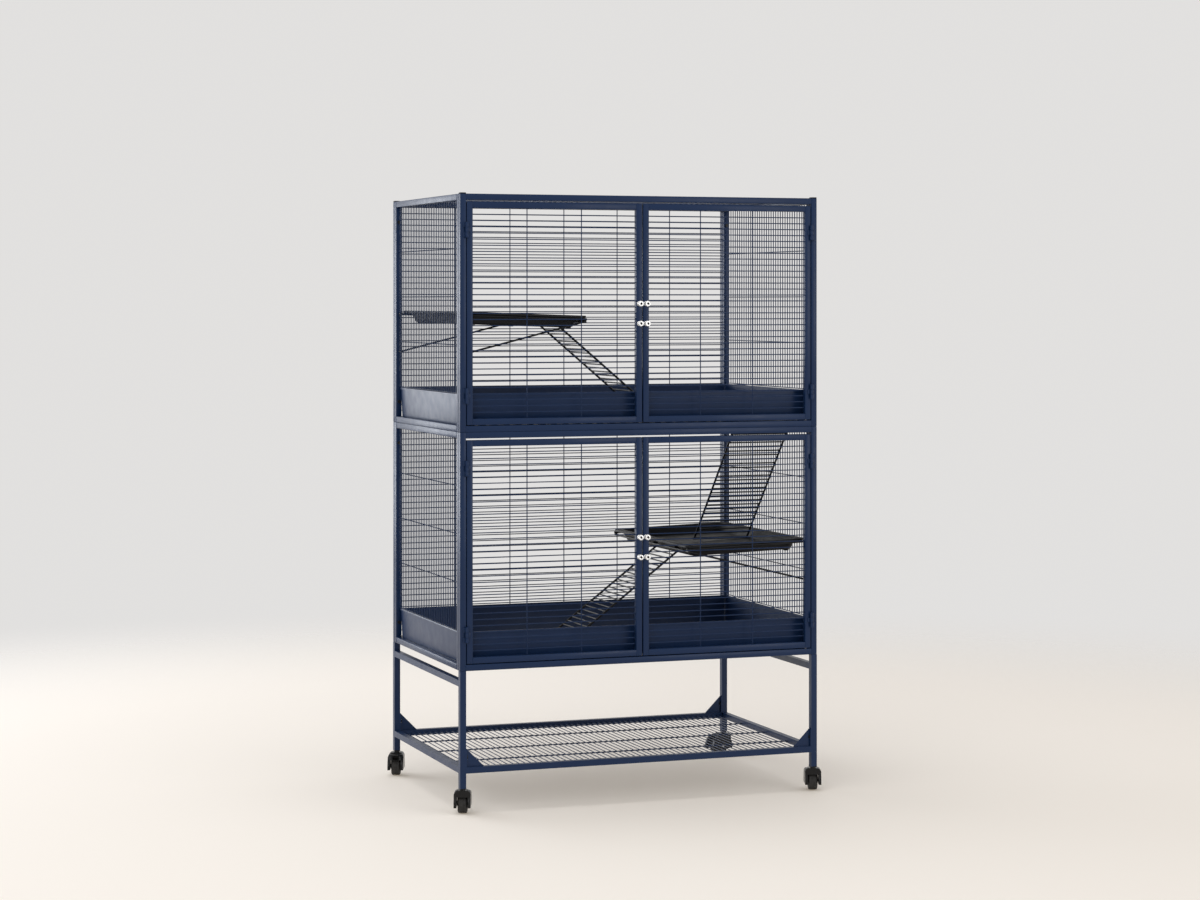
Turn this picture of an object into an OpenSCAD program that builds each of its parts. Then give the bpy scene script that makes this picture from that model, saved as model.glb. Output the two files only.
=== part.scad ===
// Two-storey ferret cage on a rolling stand.
// Millimetres. +X is to the right of someone facing the doors, +Y runs from
// the doors to the back, and Z = 0 is the floor that the casters stand on.

/* [Cage] */
// Overall width of the cage, left to right
cage_w = 787; // [720:1:840]
// Overall depth of the cage, front to back
cage_d = 508; // [495:1:540]
// Height of one storey
storey_h = 482; // [476:1:500]
// Side of the square tube that every frame is welded from
tube = 12.7; // [12.5:0.1:14]

/* [Grilles] */
// Diameter of the grille wires
wire_d = 2.1; // [2:0.1:3]
// Spacing of the grille wires, centre to centre
wire_pitch = 12.7; // [11:0.1:16]
// Wires that cross each door grille
door_cross = 2; // [1:1:4]
// Wires that cross each back grille
back_cross = 5; // [3:1:7]
// Wires that cross each side grille, the lowest one included
side_cross = 4; // [3:1:6]
// Height of the side grille's lowest wire, which the pan slides out under
side_sill = 78; // [60:1:100]

/* [Stand] */
// Height of the cage's underside above the floor
stand_h = 289; // [260:1:340]
// Height of the legs' lower ends above the floor
caster_h = 52; // [52:1:60]
// Height of the top of the shelf rails
shelf_z = 95; // [90:1:130]
// Gap between the cage and the upper side bar of the stand
bar_gap = 19; // [10:1:40]
// How far a gusset reaches along the leg and along the rail
gusset = 39; // [25:1:50]
// Spacing of the shelf wires that run front to back
shelf_pitch = 12.7; // [12:0.1:40]

/* [Doors] */
// Gap between a door and its post
hinge_gap = 1.5; // [1.2:0.1:2]
// Gap between the two doors of a storey
meet_gap = 2.5; // [2:0.1:4]
// Gap over a door
head_gap = 3.6; // [2:0.1:5]
// Gap under a door
sill_gap = 1.6; // [1:0.1:3]
// Height of a hinge barrel
hinge_h = 30; // [24:1:36]
// Distance from the storey's end to the near end of a hinge barrel
hinge_inset = 58; // [45:1:120]
// Distance between the two knobs on a meeting stile
knob_gap = 41; // [36:1:60]

/* [Pans] */
// Height of a pan's rim above the storey's underside
pan_rim = 76; // [50:1:77]
// Thickness of the pan's sheet metal
sheet = 1.2; // [1:0.1:2]
// How far each pan wall leans out from its foot to its rim
pan_lean = 4; // [2:1:5]

/* [Platforms and ramps] */
// Depth of a platform from the side grille to its free edge
platform_w = 271; // [240:1:280]
// Length of a platform from front to back
platform_l = 450; // [420:1:450]
// Height of a platform's rim above the storey's underside, at the grille
platform_z = 244; // [235:1:250]
// Downward tilt of a platform towards its free edge, in degrees
platform_tilt = 2; // [0:0.5:3]
// Distance between the side rails of a ramp
ramp_w = 125; // [100:1:125]
// Slope of the ramp from the upper platform, in degrees
upper_slope = 40; // [36:0.5:42]
// Slope of the ramp from the lower platform, in degrees
lower_slope = 37; // [36:0.5:42]
// Slope of the ramp between the storeys, in degrees
steep_slope = 47.9; // [46:0.1:50]
// Spacing of the ramp rungs
rung_pitch = 12.7; // [12:0.1:25]

/* [Casters] */
// Radius of a caster wheel
wheel_r = 20; // [18:0.5:20]
// Width of a caster wheel
wheel_w = 19.5; // [16:0.5:20]
// Distance from the swivel axis to the wheel axle
trail = 14; // [10:1:15]
// How far each caster is turned from trailing backwards: front left
turn_fl = 340; // [0:5:355]
// Front right
turn_fr = 340; // [0:5:355]
// Back left
turn_bl = 160; // [0:5:355]
// Back right
turn_br = 105; // [0:5:355]

/* [Hidden] */
$fn = 24;

// Paint and plastic colours
navy = "#1f2b4d";
black = "#17181a";
silver = "#b9bcc2";
zinc = "#8c9096";

// Running clearance between a pin and its bore, the overshoot of a cut, and
// how far two fused shapes run into each other
run = 0.05;
eps = 1;
fuse = 0.01;

// Storeys: 0 is the lower one and 1 the upper one
LOWER = 0;
UPPER = 1;
function storey_z(s) = stand_h + s * storey_h;
post_x = cage_w / 2 - tube / 2;
post_y = cage_d / 2 - tube / 2;
inner_w = cage_w - 2 * tube;
inner_d = cage_d - 2 * tube;

// Spigots that join leg to post and post to post, inside the tubes
spigot_side = 10.2;
spigot_play = 0.05;
spigot_reach = 28;

// Bolts that hold the panels and the stand together
bolt_r = 2;
bolt_bite = 8;
bolt_head_r = 3.6;
bolt_head_h = 2.4;
panel_bolt_in = 45;
panel_bolt_z = [panel_bolt_in, storey_h - panel_bolt_in];

// Gusset of a shelf rail: its plate, its flange on the leg, how far both run
// down into the rail, and the room cut in it for a bolt's head
plate_t = 2.5;
flange_t = 2;
rail_bite = 2;
head_room = 8;

// The shelf's and the grilles' cross wires lie this far from the main wires'
// axes, in wire diameters, so that they bite into them
cross_bite = 0.35;
cross_y = tube / 2 + cross_bite * wire_d;
shelf_bar = 3;

// Door leaf, hinge and latch
door_w = (inner_w - 2 * hinge_gap - meet_gap) / 2;
door_h = storey_h - 2 * tube - head_gap - sill_gap;
knuckle_r = 3.7;
knuckle_gap = 0.3;
pin_r = 1.9;
leaf_t = 1.6;
leaf_reach = 8;
hinge_axis_x = cage_w / 2 - tube - hinge_gap / 2;
hinge_out = 4;
hinge_axis_y = -cage_d / 2 - hinge_out;
hinge_zs = [hinge_inset, storey_h - hinge_inset - hinge_h];
knob_x = meet_gap / 2 + tube / 2;
knob_mid_z = 239;
knob_r = 6;
knob_stand_off = 12;
shank_r = 3;
stud_bite = 9;
cam_gap = 0.5;
cam_t = 2;
cam_len = 17;
cam_r = 4;

// Floor grate and the opening that the middle ramp passes through
grate_bar = 8;
grate_wire = 4;
grate_pitch = 25.4;
hatch_x = 291.5;
hatch_w = 146;
hatch_front = -219.6;
hatch_back = -69;
hatch_lip = 8;
hatch_rod_y = -212;
hatch_rod_drop = 7.7;

// Pan: it lies between the uprights of the side panels, and its rim passes
// under their lowest wires. Its sheets meet at seams.
pan_w = cage_w - 15;
pan_d = inner_d - 2 * tube - 1.6;
hem_h = 4;
hem_t = 1.6;
seam = 0.05;

// Wire used for brackets and ramps, its weld beads, how far a rod runs past
// its last crossing, and the hook that turns on a rod
rod_r = 2.5;
rail_r = 2.25;
rung_r = 1.5;
foot_r = 2.6;
weld = 0.3;
weld_shift = 0.4;
rod_over = 4;
foot_over = 2.5;
hook_r = rod_r + run + rail_r;
over_tip = 200;
under_tip = 30;
foot_lift = 0.3;

// Platform tray, in its own frame: x from the grille, z down from the rim
tray_rim = 12;
tray_rim_h = 5;
tray_deep = 24;
tray_wall = 3;
tray_recess = 20;
tray_lean = 9;
tray_foot_r = 6;
tray_foot_h = 3;
tray_foot_in = 32;
tray_gap = 0.5;
tray_x = -cage_w / 2 + tube + tray_gap;

// Bracket of the upper platform: two arms and two braces end in pegs in the
// side panel's uprights, and meet at the rod that the ramp hooks on
arm_r = 2.6;
brace_r = 2;
arm_y = 220;
peg_x = -cage_w / 2 + 7.5;
peg_bite = 3.9;
peg_reach = inner_d / 2 - tube + peg_bite - arm_y;
peg_low_z = 154.5;
ramp_rod_x = -115;
rod_bite = 0.2;
upper_ramp_y = 24;
lower_ramp_y = -89;

// Caster
axle_r = 3;
hood_w = 34;
hood_r = 26.5;
hood_slot = 23;
hood_slot_r = 22;
hood_open_z = 14;
hood_window_z = 35;
hood_shoulder = 9;
stem_r = 4;
stem_top = caster_h + 32;
flange_h = 1.5;
neck_h = 1.5;
neck_r = 6;
hood_top = caster_h - flange_h - neck_h - 0.5;
head_r = 8.5;
pedal_y = trail + 13;
pedal_z = 40;
pedal_w = 12;
pedal_r = 3;
pedal_pin_r = 1.5;
pedal_pin = 4;
pedal_gap = 0.4;
pedal_len = 15;
pedal_t = 2.4;
pedal_lift = 25;

/* ---------- shared shapes ---------- */

// A round rod of radius r from point p to point q
module rod(p, q, r) {
    v = q - p;
    len = norm(v);
    translate(p)
        rotate([0, acos(v.z / len), atan2(v.y, v.x)])
            cylinder(h = len, r = r);
}

// A block whose four sides lean: foot size, top size and height, from z = 0
module tray_block(foot, top, h) {
    intersection() {
        translate([0, top.y, 0])
            rotate([90, 0, 0])
                linear_extrude(2 * top.y)
                    polygon([[-foot.x / 2, 0], [foot.x / 2, 0], [top.x / 2, h], [-top.x / 2, h]]);
        translate([-top.x, 0, 0])
            rotate([90, 0, 90])
                linear_extrude(2 * top.x)
                    polygon([[-foot.y / 2, 0], [foot.y / 2, 0], [top.y / 2, h], [-top.y / 2, h]]);
    }
}

// A welded rectangle of square tube that stands in the XZ plane, outer face at y = 0
module tube_frame(w, h) {
    difference() {
        translate([-w / 2, 0, 0]) cube([w, tube, h]);
        translate([-w / 2 + tube, -eps, tube]) cube([w - 2 * tube, tube + 2 * eps, h - 2 * tube]);
    }
}

// Round wires side by side between two rails, n spaces in a width of span
module wires(span, n, len) {
    for (i = [1 : n - 1])
        translate([i * span / n - span / 2, 0, 0]) cylinder(h = len, d = wire_d);
}

// A tube frame with wires across it, and n_cross wires up their inner side
module grille(w, h, n_cross) {
    span = h - 2 * tube;
    cross_span = w - 2 * tube;
    tube_frame(w, h);
    translate([-(w - tube) / 2, tube / 2, h / 2])
        rotate([0, 90, 0]) wires(span, round(span / wire_pitch), w - tube);
    for (i = [1 : n_cross])
        translate([i * cross_span / (n_cross + 1) - (cross_span + wire_d) / 2, cross_y, tube / 2])
            cube([wire_d, wire_d, h - tube]);
}

// A side panel's frame: its wires run up from a lowest cross wire, over the pan
module side_grille() {
    w = inner_d;
    span = w - 2 * tube;
    rise = (storey_h - tube - side_sill) / side_cross;
    tube_frame(w, storey_h);
    translate([0, tube / 2, side_sill])
        wires(span, round(span / wire_pitch), storey_h - tube / 2 - side_sill);
    for (i = [0 : side_cross - 1])
        translate([-(w - tube) / 2, cross_y, side_sill + i * rise - wire_d / 2])
            cube([w - tube, wire_d, wire_d]);
}

// The square pocket in a tube's end, from z = 0 upwards
module spigot_pocket() {
    side = spigot_side + 2 * spigot_play;
    translate([-side / 2, -side / 2, -eps]) cube([side, side, spigot_reach + eps]);
}

// Pockets in both ends of the two posts of a front frame or a back panel
module post_pockets() {
    for (side = [-1, 1])
        translate([side * post_x, tube / 2, 0]) {
            spigot_pocket();
            translate([0, 0, storey_h]) mirror([0, 0, 1]) spigot_pocket();
        }
}

// Blind holes in the inner faces of those posts, for the panel bolts
module post_bolt_holes() {
    for (side = [-1, 1], z = panel_bolt_z)
        translate([side * post_x, tube - bolt_bite - eps, z])
            rotate([-90, 0, 0]) cylinder(h = bolt_bite + 2 * eps, r = bolt_r + run);
}

module bolt(shank) {
    cylinder(h = bolt_head_h, r = bolt_head_r);
    translate([0, 0, -shank]) cylinder(h = shank, r = bolt_r);
}

/* ---------- stand ---------- */

module leg() {
    len = stand_h - caster_h;
    socket = spigot_side + 2 * spigot_play;
    difference() {
        translate([-tube / 2, -tube / 2, 0]) cube([tube, tube, len]);
        translate([0, 0, len]) mirror([0, 0, 1]) spigot_pocket();
        translate([-socket / 2, -socket / 2, -eps]) cube([socket, socket, stem_top - caster_h + 3 + eps]);
    }
}

// Two legs, the bar under the cage and the bar at shelf height
module stand_side_frame(side) {
    color(navy)
    difference() {
        union() {
            for (y = [-post_y, post_y])
                translate([side * post_x, y, caster_h]) leg();
            for (z = [shelf_z - tube, stand_h - bar_gap - tube])
                translate([side * post_x - tube / 2, -inner_d / 2 - fuse, z])
                    cube([tube, inner_d + 2 * fuse, tube]);
        }
        for (y = [-post_y, post_y])
            translate([side * (inner_w / 2 - eps), y, shelf_z + gusset / 2])
                rotate([0, side * 90, 0]) cylinder(h = bolt_bite + eps, r = bolt_r + run);
    }
}

// A shelf rail with its two folded gussets, front at y = -1 and back at y = 1
module stand_rail(end) {
    color(navy)
    translate([0, end * post_y, 0])
    difference() {
        union() {
            translate([-inner_w / 2, -tube / 2, shelf_z - tube]) cube([inner_w, tube, tube]);
            for (side = [-1, 1])
                translate([side * inner_w / 2, 0, shelf_z]) {
                    translate([0, plate_t / 2, 0])
                        rotate([90, 0, 0])
                            linear_extrude(plate_t)
                                polygon([[0, -rail_bite], [-side * gusset, -rail_bite],
                                         [-side * gusset, 0], [0, gusset]]);
                    translate([-(side + 1) / 2 * flange_t, -tube / 2, -rail_bite])
                        cube([flange_t, tube, gusset - rail_bite]);
                }
        }
        for (side = [-1, 1])
            translate([side * (inner_w / 2 + eps), 0, shelf_z + gusset / 2])
                rotate([0, -side * 90, 0]) {
                    cylinder(h = flange_t + 2 * eps, r = bolt_r + run);
                    translate([0, 0, flange_t + eps]) cylinder(h = head_room, r = bolt_head_r + 0.5);
                }
    }
}

// Wires of the shelf: many from front to back, three thicker ones across them
module wire_shelf() {
    z = shelf_z - tube / 2;
    color(navy) {
        translate([0, -inner_d / 2, z])
            rotate([-90, 0, 0]) wires(inner_w, round(inner_w / shelf_pitch), inner_d);
        for (k = [-1 : 1])
            translate([-inner_w / 2, k * cage_d / 4 - shelf_bar / 2, z - cross_bite * wire_d - shelf_bar])
                cube([inner_w, shelf_bar, shelf_bar]);
    }
}

module stand_bolts() {
    color(black)
    for (sx = [-1, 1], sy = [-1, 1])
        translate([sx * (inner_w / 2 - flange_t), sy * post_y, shelf_z + gusset / 2])
            rotate([0, -sx * 90, 0]) bolt(flange_t + bolt_bite - eps);
}

// Square plugs inside the tubes, four at height z
module spigots(z) {
    color(black)
    for (sx = [-1, 1], sy = [-1, 1])
        translate([sx * post_x - spigot_side / 2, sy * post_y - spigot_side / 2, z - spigot_reach + eps])
            cube([spigot_side, spigot_side, 2 * spigot_reach - 2 * eps]);
}

// Low caps with sloping edges, and a square plug in the post under each
module post_caps() {
    cap_h = 1.1;
    color(black)
    for (sx = [-1, 1], sy = [-1, 1])
        translate([sx * post_x, sy * post_y, storey_z(UPPER) + storey_h]) {
            translate([-tube / 2, -tube / 2, 0]) cube([tube, tube, cap_h]);
            translate([0, 0, cap_h]) tray_block([tube, tube], [tube - 2, tube - 2], cap_h);
            translate([-spigot_side / 2, -spigot_side / 2, -spigot_reach + eps])
                cube([spigot_side, spigot_side, spigot_reach]);
        }
}

/* ---------- cage shell ---------- */

// One third of a hinge barrel, with its leaf on the frame's front face
module knuckle(z, h, side) {
    difference() {
        translate([0, 0, z]) cylinder(h = h, r = knuckle_r);
        translate([0, 0, z - eps]) cylinder(h = h + 2 * eps, r = pin_r + run);
    }
    difference() {
        translate([side > 0 ? 0 : -leaf_reach, hinge_out - leaf_t, z]) cube([leaf_reach, leaf_t + fuse, h]);
        translate([0, 0, z - eps]) cylinder(h = h + 2 * eps, r = pin_r + 1);
    }
}

module front_frame(s) {
    third = hinge_h / 3;
    color(navy)
    translate([0, 0, storey_z(s)]) {
        difference() {
            translate([0, -cage_d / 2, 0]) tube_frame(cage_w, storey_h);
            translate([0, -cage_d / 2, 0]) post_pockets();
            translate([0, -cage_d / 2, 0]) post_bolt_holes();
        }
        for (side = [-1, 1], z = hinge_zs)
            translate([side * hinge_axis_x, hinge_axis_y, z]) {
                knuckle(0, third - knuckle_gap / 2, side);
                knuckle(2 * third + knuckle_gap / 2, third - knuckle_gap / 2, side);
            }
    }
}

module back_panel(s) {
    color(navy)
    translate([0, cage_d / 2, storey_z(s)])
        rotate([0, 0, 180])
            difference() {
                grille(cage_w, storey_h, back_cross);
                post_pockets();
                post_bolt_holes();
            }
}

// The inner faces of its uprights have holes for a bracket's pegs
module side_panel(s, side) {
    color(navy)
    translate([side * cage_w / 2, 0, storey_z(s)])
        rotate([0, 0, side * 90])
            difference() {
                side_grille();
                for (end = [-1, 1], z = panel_bolt_z)
                    translate([end * (inner_d / 2 - tube - eps), tube / 2, z])
                        rotate([0, end * 90, 0]) cylinder(h = tube + 2 * eps, r = bolt_r + run);
                for (end = [-1, 1], z = [peg_low_z, peg_high_z])
                    translate([end * (inner_d / 2 - tube - eps), peg_x + cage_w / 2, z])
                        rotate([0, end * 90, 0]) cylinder(h = peg_bite + 2 * eps, r = brace_r + run);
            }
}

module panel_bolts() {
    color(black)
    for (s = [LOWER, UPPER], sx = [-1, 1], sy = [-1, 1], z = panel_bolt_z)
        translate([sx * post_x, sy * (inner_d / 2 - tube), storey_z(s) + z])
            rotate([sy * 90, 0, 0]) bolt(tube + bolt_bite - eps);
}

// Flat grid of wires held in a square-bar rim: outer size of the cage's inside
module flat_grid(bar, wire, pitch, n_cross) {
    n = round(inner_w / pitch);
    difference() {
        translate([-inner_w / 2, -inner_d / 2, -bar]) cube([inner_w, inner_d, bar]);
        translate([-inner_w / 2 + bar, -inner_d / 2 + bar, -bar - eps])
            cube([inner_w - 2 * bar, inner_d - 2 * bar, bar + 2 * eps]);
    }
    for (i = [1 : n - 1])
        translate([-inner_w / 2 + i * inner_w / n, -(inner_d - bar) / 2, -wire / 2])
            rotate([-90, 0, 0]) cylinder(h = inner_d - bar, d = wire);
    for (k = [1 : n_cross])
        translate([-(inner_w - bar) / 2, -inner_d / 2 + k * inner_d / (n_cross + 1) - wire / 2,
                   -(1.5 + cross_bite) * wire])
            cube([inner_w - bar, wire, wire]);
}

module roof_panel() {
    color(navy)
    translate([0, 0, storey_z(UPPER) + storey_h - 2])
        flat_grid(grate_bar, wire_d, wire_pitch, 4);
}

module floor_grate(s) {
    color(navy)
    translate([0, 0, storey_z(s) + tube])
        if (s == LOWER) flat_grid(grate_bar, grate_wire, grate_pitch, 3);
        else hatch_grate();
}

// The upper grate: an opening with a round rod at its front edge. Seams part its
// left side, its back and the opening's frame, as they are welded together.
module hatch_grate() {
    out_w = hatch_w + 2 * grate_bar;
    left = hatch_x - out_w / 2;
    back = hatch_back + grate_bar;
    front = -inner_d / 2 + grate_bar;
    ledge = 0.3;
    difference() {
        union() {
            flat_grid(grate_bar, grate_wire, grate_pitch, 3);
            translate([left, front - fuse, -grate_bar]) cube([out_w, back - front + fuse, grate_bar]);
        }
        translate([hatch_x - hatch_w / 2, front + ledge, -grate_bar - eps])
            cube([hatch_w, hatch_back - front - ledge, grate_bar + 2 * eps]);
        translate([left - seam, -cage_d / 2, -2 * grate_bar]) cube([seam, cage_d, 3 * grate_bar]);
        translate([left - seam, back, -2 * grate_bar]) cube([inner_w, seam, 3 * grate_bar]);
    }
    translate([hatch_x - hatch_w / 2 - 2, hatch_rod_y, -hatch_rod_drop + rod_r])
        rotate([0, 90, 0]) cylinder(h = hatch_w + 4, r = rod_r);
}

/* ---------- pans ---------- */

// A sheet-metal pan. Seams part its floor and its four walls.
module pan(s) {
    h = pan_rim - tube;
    foot = [pan_w - 2 * pan_lean - 2 * hem_t, pan_d - 2 * pan_lean - 2 * hem_t];
    top = [pan_w - 2 * hem_t, pan_d - 2 * hem_t];
    grow = [2 * sheet, 2 * sheet];
    color(navy)
    translate([0, 0, storey_z(s) + tube]) {
        difference() {
            union() {
                tray_block(foot, top, h);
                translate([-pan_w / 2, -pan_d / 2, h - hem_h]) cube([pan_w, pan_d, hem_h]);
            }
            translate([0, 0, sheet]) tray_block(foot - grow, top - grow, h - sheet + fuse);
            pan_seams(foot);
            if (s == UPPER) hatch_cut();
        }
        if (s == UPPER) hatch_lips();
    }
}

// The hatch in the upper pan's floor, and two seams that part the floor beside it
module hatch_cut() {
    left = hatch_x - hatch_w / 2;
    translate([left, hatch_front, -eps]) cube([hatch_w, hatch_back - hatch_front, sheet + 2 * eps]);
    for (x = [left - seam, left + hatch_w])
        translate([x, -pan_d / 2, -eps]) cube([seam, pan_d, sheet + eps + seam / 2]);
}

// Upright strips on three sides of the hatch, the fourth side is the pan's wall
module hatch_lips() {
    left = hatch_x - hatch_w / 2;
    long = hatch_back - hatch_front + sheet;
    h = hatch_lip - sheet - seam;
    translate([0, 0, sheet + seam]) {
        for (x = [left - sheet, left + hatch_w])
            translate([x, hatch_front, 0]) cube([sheet, long, h]);
        translate([left + seam, hatch_back, 0]) cube([hatch_w - 2 * seam, sheet, h]);
    }
}

// The thin gaps over the floor sheet and at the four corners of a pan
module pan_seams(foot) {
    inside = [foot.x - 2 * sheet - 0.2, foot.y - 2 * sheet - 0.2];
    blade = 40;
    translate([0, 0, sheet])
        linear_extrude(seam)
            difference() {
                square([pan_w + 2, pan_d + 2], center = true);
                square(inside, center = true);
            }
    for (sx = [-1, 1], sy = [-1, 1])
        translate([sx * foot.x / 2, sy * foot.y / 2, sheet])
            rotate([0, 0, sx * sy * 45])
                translate([-blade / 2, -seam / 2, 0]) cube([blade, seam, pan_rim]);
}

/* ---------- doors ---------- */

// side -1 is the left door, 1 the right one
module door(s, side) {
    third = hinge_h / 3;
    mid_x = side * (meet_gap + door_w) / 2;
    bore = side > 0 ? tube + 2 * eps : stud_bite + eps;
    color(navy)
    translate([0, 0, storey_z(s)]) {
        difference() {
            translate([mid_x, -cage_d / 2, tube + sill_gap]) grille(door_w, door_h, door_cross);
            for (k = [-1, 1])
                translate([side * knob_x, -cage_d / 2 - eps, knob_mid_z + k * knob_gap / 2])
                    rotate([-90, 0, 0]) cylinder(h = bore, r = shank_r + run);
        }
        for (z = hinge_zs)
            translate([side * hinge_axis_x, hinge_axis_y, z])
                knuckle(third + knuckle_gap / 2, third - knuckle_gap, -side);
    }
}

module hinge_pins() {
    head_h = 1;
    color(navy)
    for (s = [LOWER, UPPER], side = [-1, 1], z = hinge_zs)
        translate([side * hinge_axis_x, hinge_axis_y, storey_z(s) + z]) {
            translate([0, 0, -head_h]) cylinder(h = head_h, r = knuckle_r - 0.8);
            cylinder(h = hinge_h, r = pin_r);
            translate([0, 0, hinge_h]) cylinder(h = head_h, r = knuckle_r - 0.8);
        }
}

// A ring knob that stands out of a door's front face, with its shank behind it
module ring_knob(shank) {
    rotate([90, 0, 0])
        rotate_extrude()
            polygon([[0, 4], [3.2, 4], [3.2, knob_stand_off - 3], [3.6, knob_stand_off - 3],
                     [3.6, knob_stand_off - 1], [4.2, knob_stand_off], [knob_r - 0.8, knob_stand_off],
                     [knob_r, knob_stand_off - 1], [knob_r, knob_stand_off - 4], [4.2, knob_stand_off - 5.5],
                     [4.2, 1.2], [5, 0.6], [5, 0], [shank_r, 0], [shank_r, -shank], [0, -shank]]);
}

module door_studs(s) {
    color(silver)
    for (k = [-1, 1])
        translate([-knob_x, -cage_d / 2, storey_z(s) + knob_mid_z + k * knob_gap / 2])
            ring_knob(stud_bite - 1);
}

// Turning latch on a right door: knob, shank and the cam behind the stile, at rest upright
module latch(s, k) {
    reach = tube + cam_gap;
    color(silver)
    translate([knob_x, -cage_d / 2, storey_z(s) + knob_mid_z + k * knob_gap / 2]) {
        ring_knob(reach);
        translate([0, reach + cam_t, 0])
            rotate([90, 0, 0])
                linear_extrude(cam_t + fuse)
                    union() {
                        circle(r = cam_r);
                        translate([-cam_r, 0]) square([2 * cam_r, cam_len - cam_r]);
                        translate([0, cam_len - cam_r]) circle(r = cam_r);
                    }
    }
}

/* ---------- platforms and ramps ---------- */

// Places children on the upper platform's tilted plane, rim top at z = 0, grille at x = 0
module on_tray() {
    translate([tray_x, 0, storey_z(UPPER) + platform_z])
        rotate([0, platform_tilt, 0])
            children();
}

// Moulded tray with a rim all round, a recessed floor and four feet
module tray() {
    bowl = [platform_w - 2 * tray_rim, platform_l - 2 * tray_rim];
    lean = [2 * tray_lean, 2 * tray_lean];
    wall = [2 * tray_wall, 2 * tray_wall];
    translate([platform_w / 2, 0, 0]) {
        difference() {
            union() {
                translate([-platform_w / 2, -platform_l / 2, -tray_rim_h])
                    cube([platform_w, platform_l, tray_rim_h]);
                translate([0, 0, -tray_deep]) tray_block(bowl - lean, bowl, tray_deep - 1);
            }
            translate([0, 0, -tray_recess])
                tray_block(bowl - lean - wall, bowl - wall, tray_recess + fuse);
        }
        for (sx = [-1, 1], sy = [-1, 1])
            translate([sx * (platform_w / 2 - tray_foot_in), sy * (platform_l / 2 - tray_foot_in),
                       -tray_deep - tray_foot_h])
                cylinder(h = tray_foot_h + 0.5, r = tray_foot_r);
    }
}

// Height of the arms' axes over the storey's underside, at x: they run close
// under the platform's rim
function arm_z(x) = platform_z - (tray_rim_h + arm_r + 2 * fuse) / cos(platform_tilt)
                  - (x - tray_x) * tan(platform_tilt);
peg_high_z = arm_z(peg_x);
ramp_rod_z = arm_z(ramp_rod_x) - arm_r - rod_r + rod_bite;

module upper_bracket_shape() {
    end_x = ramp_rod_x + rod_over;
    translate([0, 0, storey_z(UPPER)]) {
        for (way = [-1, 1]) {
            y = way * arm_y;
            rod([peg_x, y, peg_high_z], [end_x, y, arm_z(end_x)], arm_r);
            rod([peg_x, y, peg_low_z], [ramp_rod_x, y, ramp_rod_z], brace_r);
            for (z = [peg_low_z, peg_high_z])
                rod([peg_x, y, z], [peg_x, y + way * peg_reach, z], brace_r);
            translate([peg_x, y, peg_low_z]) sphere(r = brace_r + weld);
            translate([peg_x, y, peg_high_z]) sphere(r = arm_r + weld);
        }
        rod([ramp_rod_x, -arm_y - rod_over, ramp_rod_z], [ramp_rod_x, arm_y + rod_over, ramp_rod_z], rod_r);
    }
}

// Places what is built for the upper left platform at the lower right one
module at_lower_right() {
    translate([0, 0, -storey_h]) mirror([1, 0, 0]) children();
}

// A ladder of wire that hooks on a rod on the Y axis and runs down towards +X.
// Its rails leave over the rod (way = 1) or under it (way = -1).
module ramp(slope, fall, way) {
    start = way * hook_r * [sin(slope), 0, cos(slope)];
    down = [cos(slope), 0, -sin(slope)];
    len = (start.z + fall - foot_r - foot_lift) / sin(slope);
    end = start + len * down;
    n = floor((len - 6) / rung_pitch);
    from = way > 0 ? 90 - slope : under_tip;
    to = way > 0 ? over_tip : 270 - slope;
    for (y = [-ramp_w / 2, ramp_w / 2]) {
        translate([0, y, 0])
            rotate([90, 0, 0])
                rotate([0, 0, from])
                    rotate_extrude(angle = to - from)
                        translate([hook_r, 0]) circle(r = rail_r);
        rod(start + weld_shift * down + [0, y, 0], end + [0, y, 0], rail_r);
        translate(start * (hook_r + weld_shift) / hook_r + [0, y, 0]) sphere(r = rail_r + weld);
    }
    rod(end + [0, -ramp_w / 2 - foot_over, 0], end + [0, ramp_w / 2 + foot_over, 0], foot_r);
    for (i = [1 : n])
        translate(start + i * rung_pitch * down)
            translate([0, -ramp_w / 2, 0])
                rotate([-90, 0, 0]) cylinder(h = ramp_w, r = rung_r);
}

// Height of a hinge rod above the floor that the ramp's foot stands on
side_fall = ramp_rod_z - tube - sheet;
hatch_rod_z = storey_z(UPPER) + tube - hatch_rod_drop + rod_r;
tray_x_at_ramp = inner_w / 2 - tray_gap - (hatch_x + ramp_w / 2);
tray_floor_z = storey_z(LOWER) + platform_z - tray_x_at_ramp * tan(platform_tilt)
               - tray_recess / cos(platform_tilt);
steep_fall = hatch_rod_z - tray_floor_z;

module upper_ramp() {
    color(black)
    translate([ramp_rod_x, upper_ramp_y, storey_z(UPPER) + ramp_rod_z])
        ramp(upper_slope, side_fall, -1);
}

module lower_ramp() {
    color(black)
    at_lower_right()
        translate([ramp_rod_x, lower_ramp_y, storey_z(UPPER) + ramp_rod_z])
            ramp(lower_slope, side_fall, -1);
}

module middle_ramp() {
    color(black)
    translate([hatch_x, hatch_rod_y, hatch_rod_z])
        rotate([0, 0, 90]) ramp(steep_slope, steep_fall, 1);
}

/* ---------- casters ---------- */

// Corner of the cage, and how far its caster is turned
function corner(id) = id == "fl" ? [-1, -1, turn_fl]
                    : id == "fr" ? [1, -1, turn_fr]
                    : id == "bl" ? [-1, 1, turn_bl]
                    : [1, 1, turn_br];

// Puts children at a leg, turned with its caster so that the wheel trails to +Y
module at_caster(id) {
    at_leg(id)
        rotate([0, 0, corner(id).z])
            children();
}

module at_leg(id) {
    translate([corner(id).x * post_x, corner(id).y * post_y, 0]) children();
}

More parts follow.
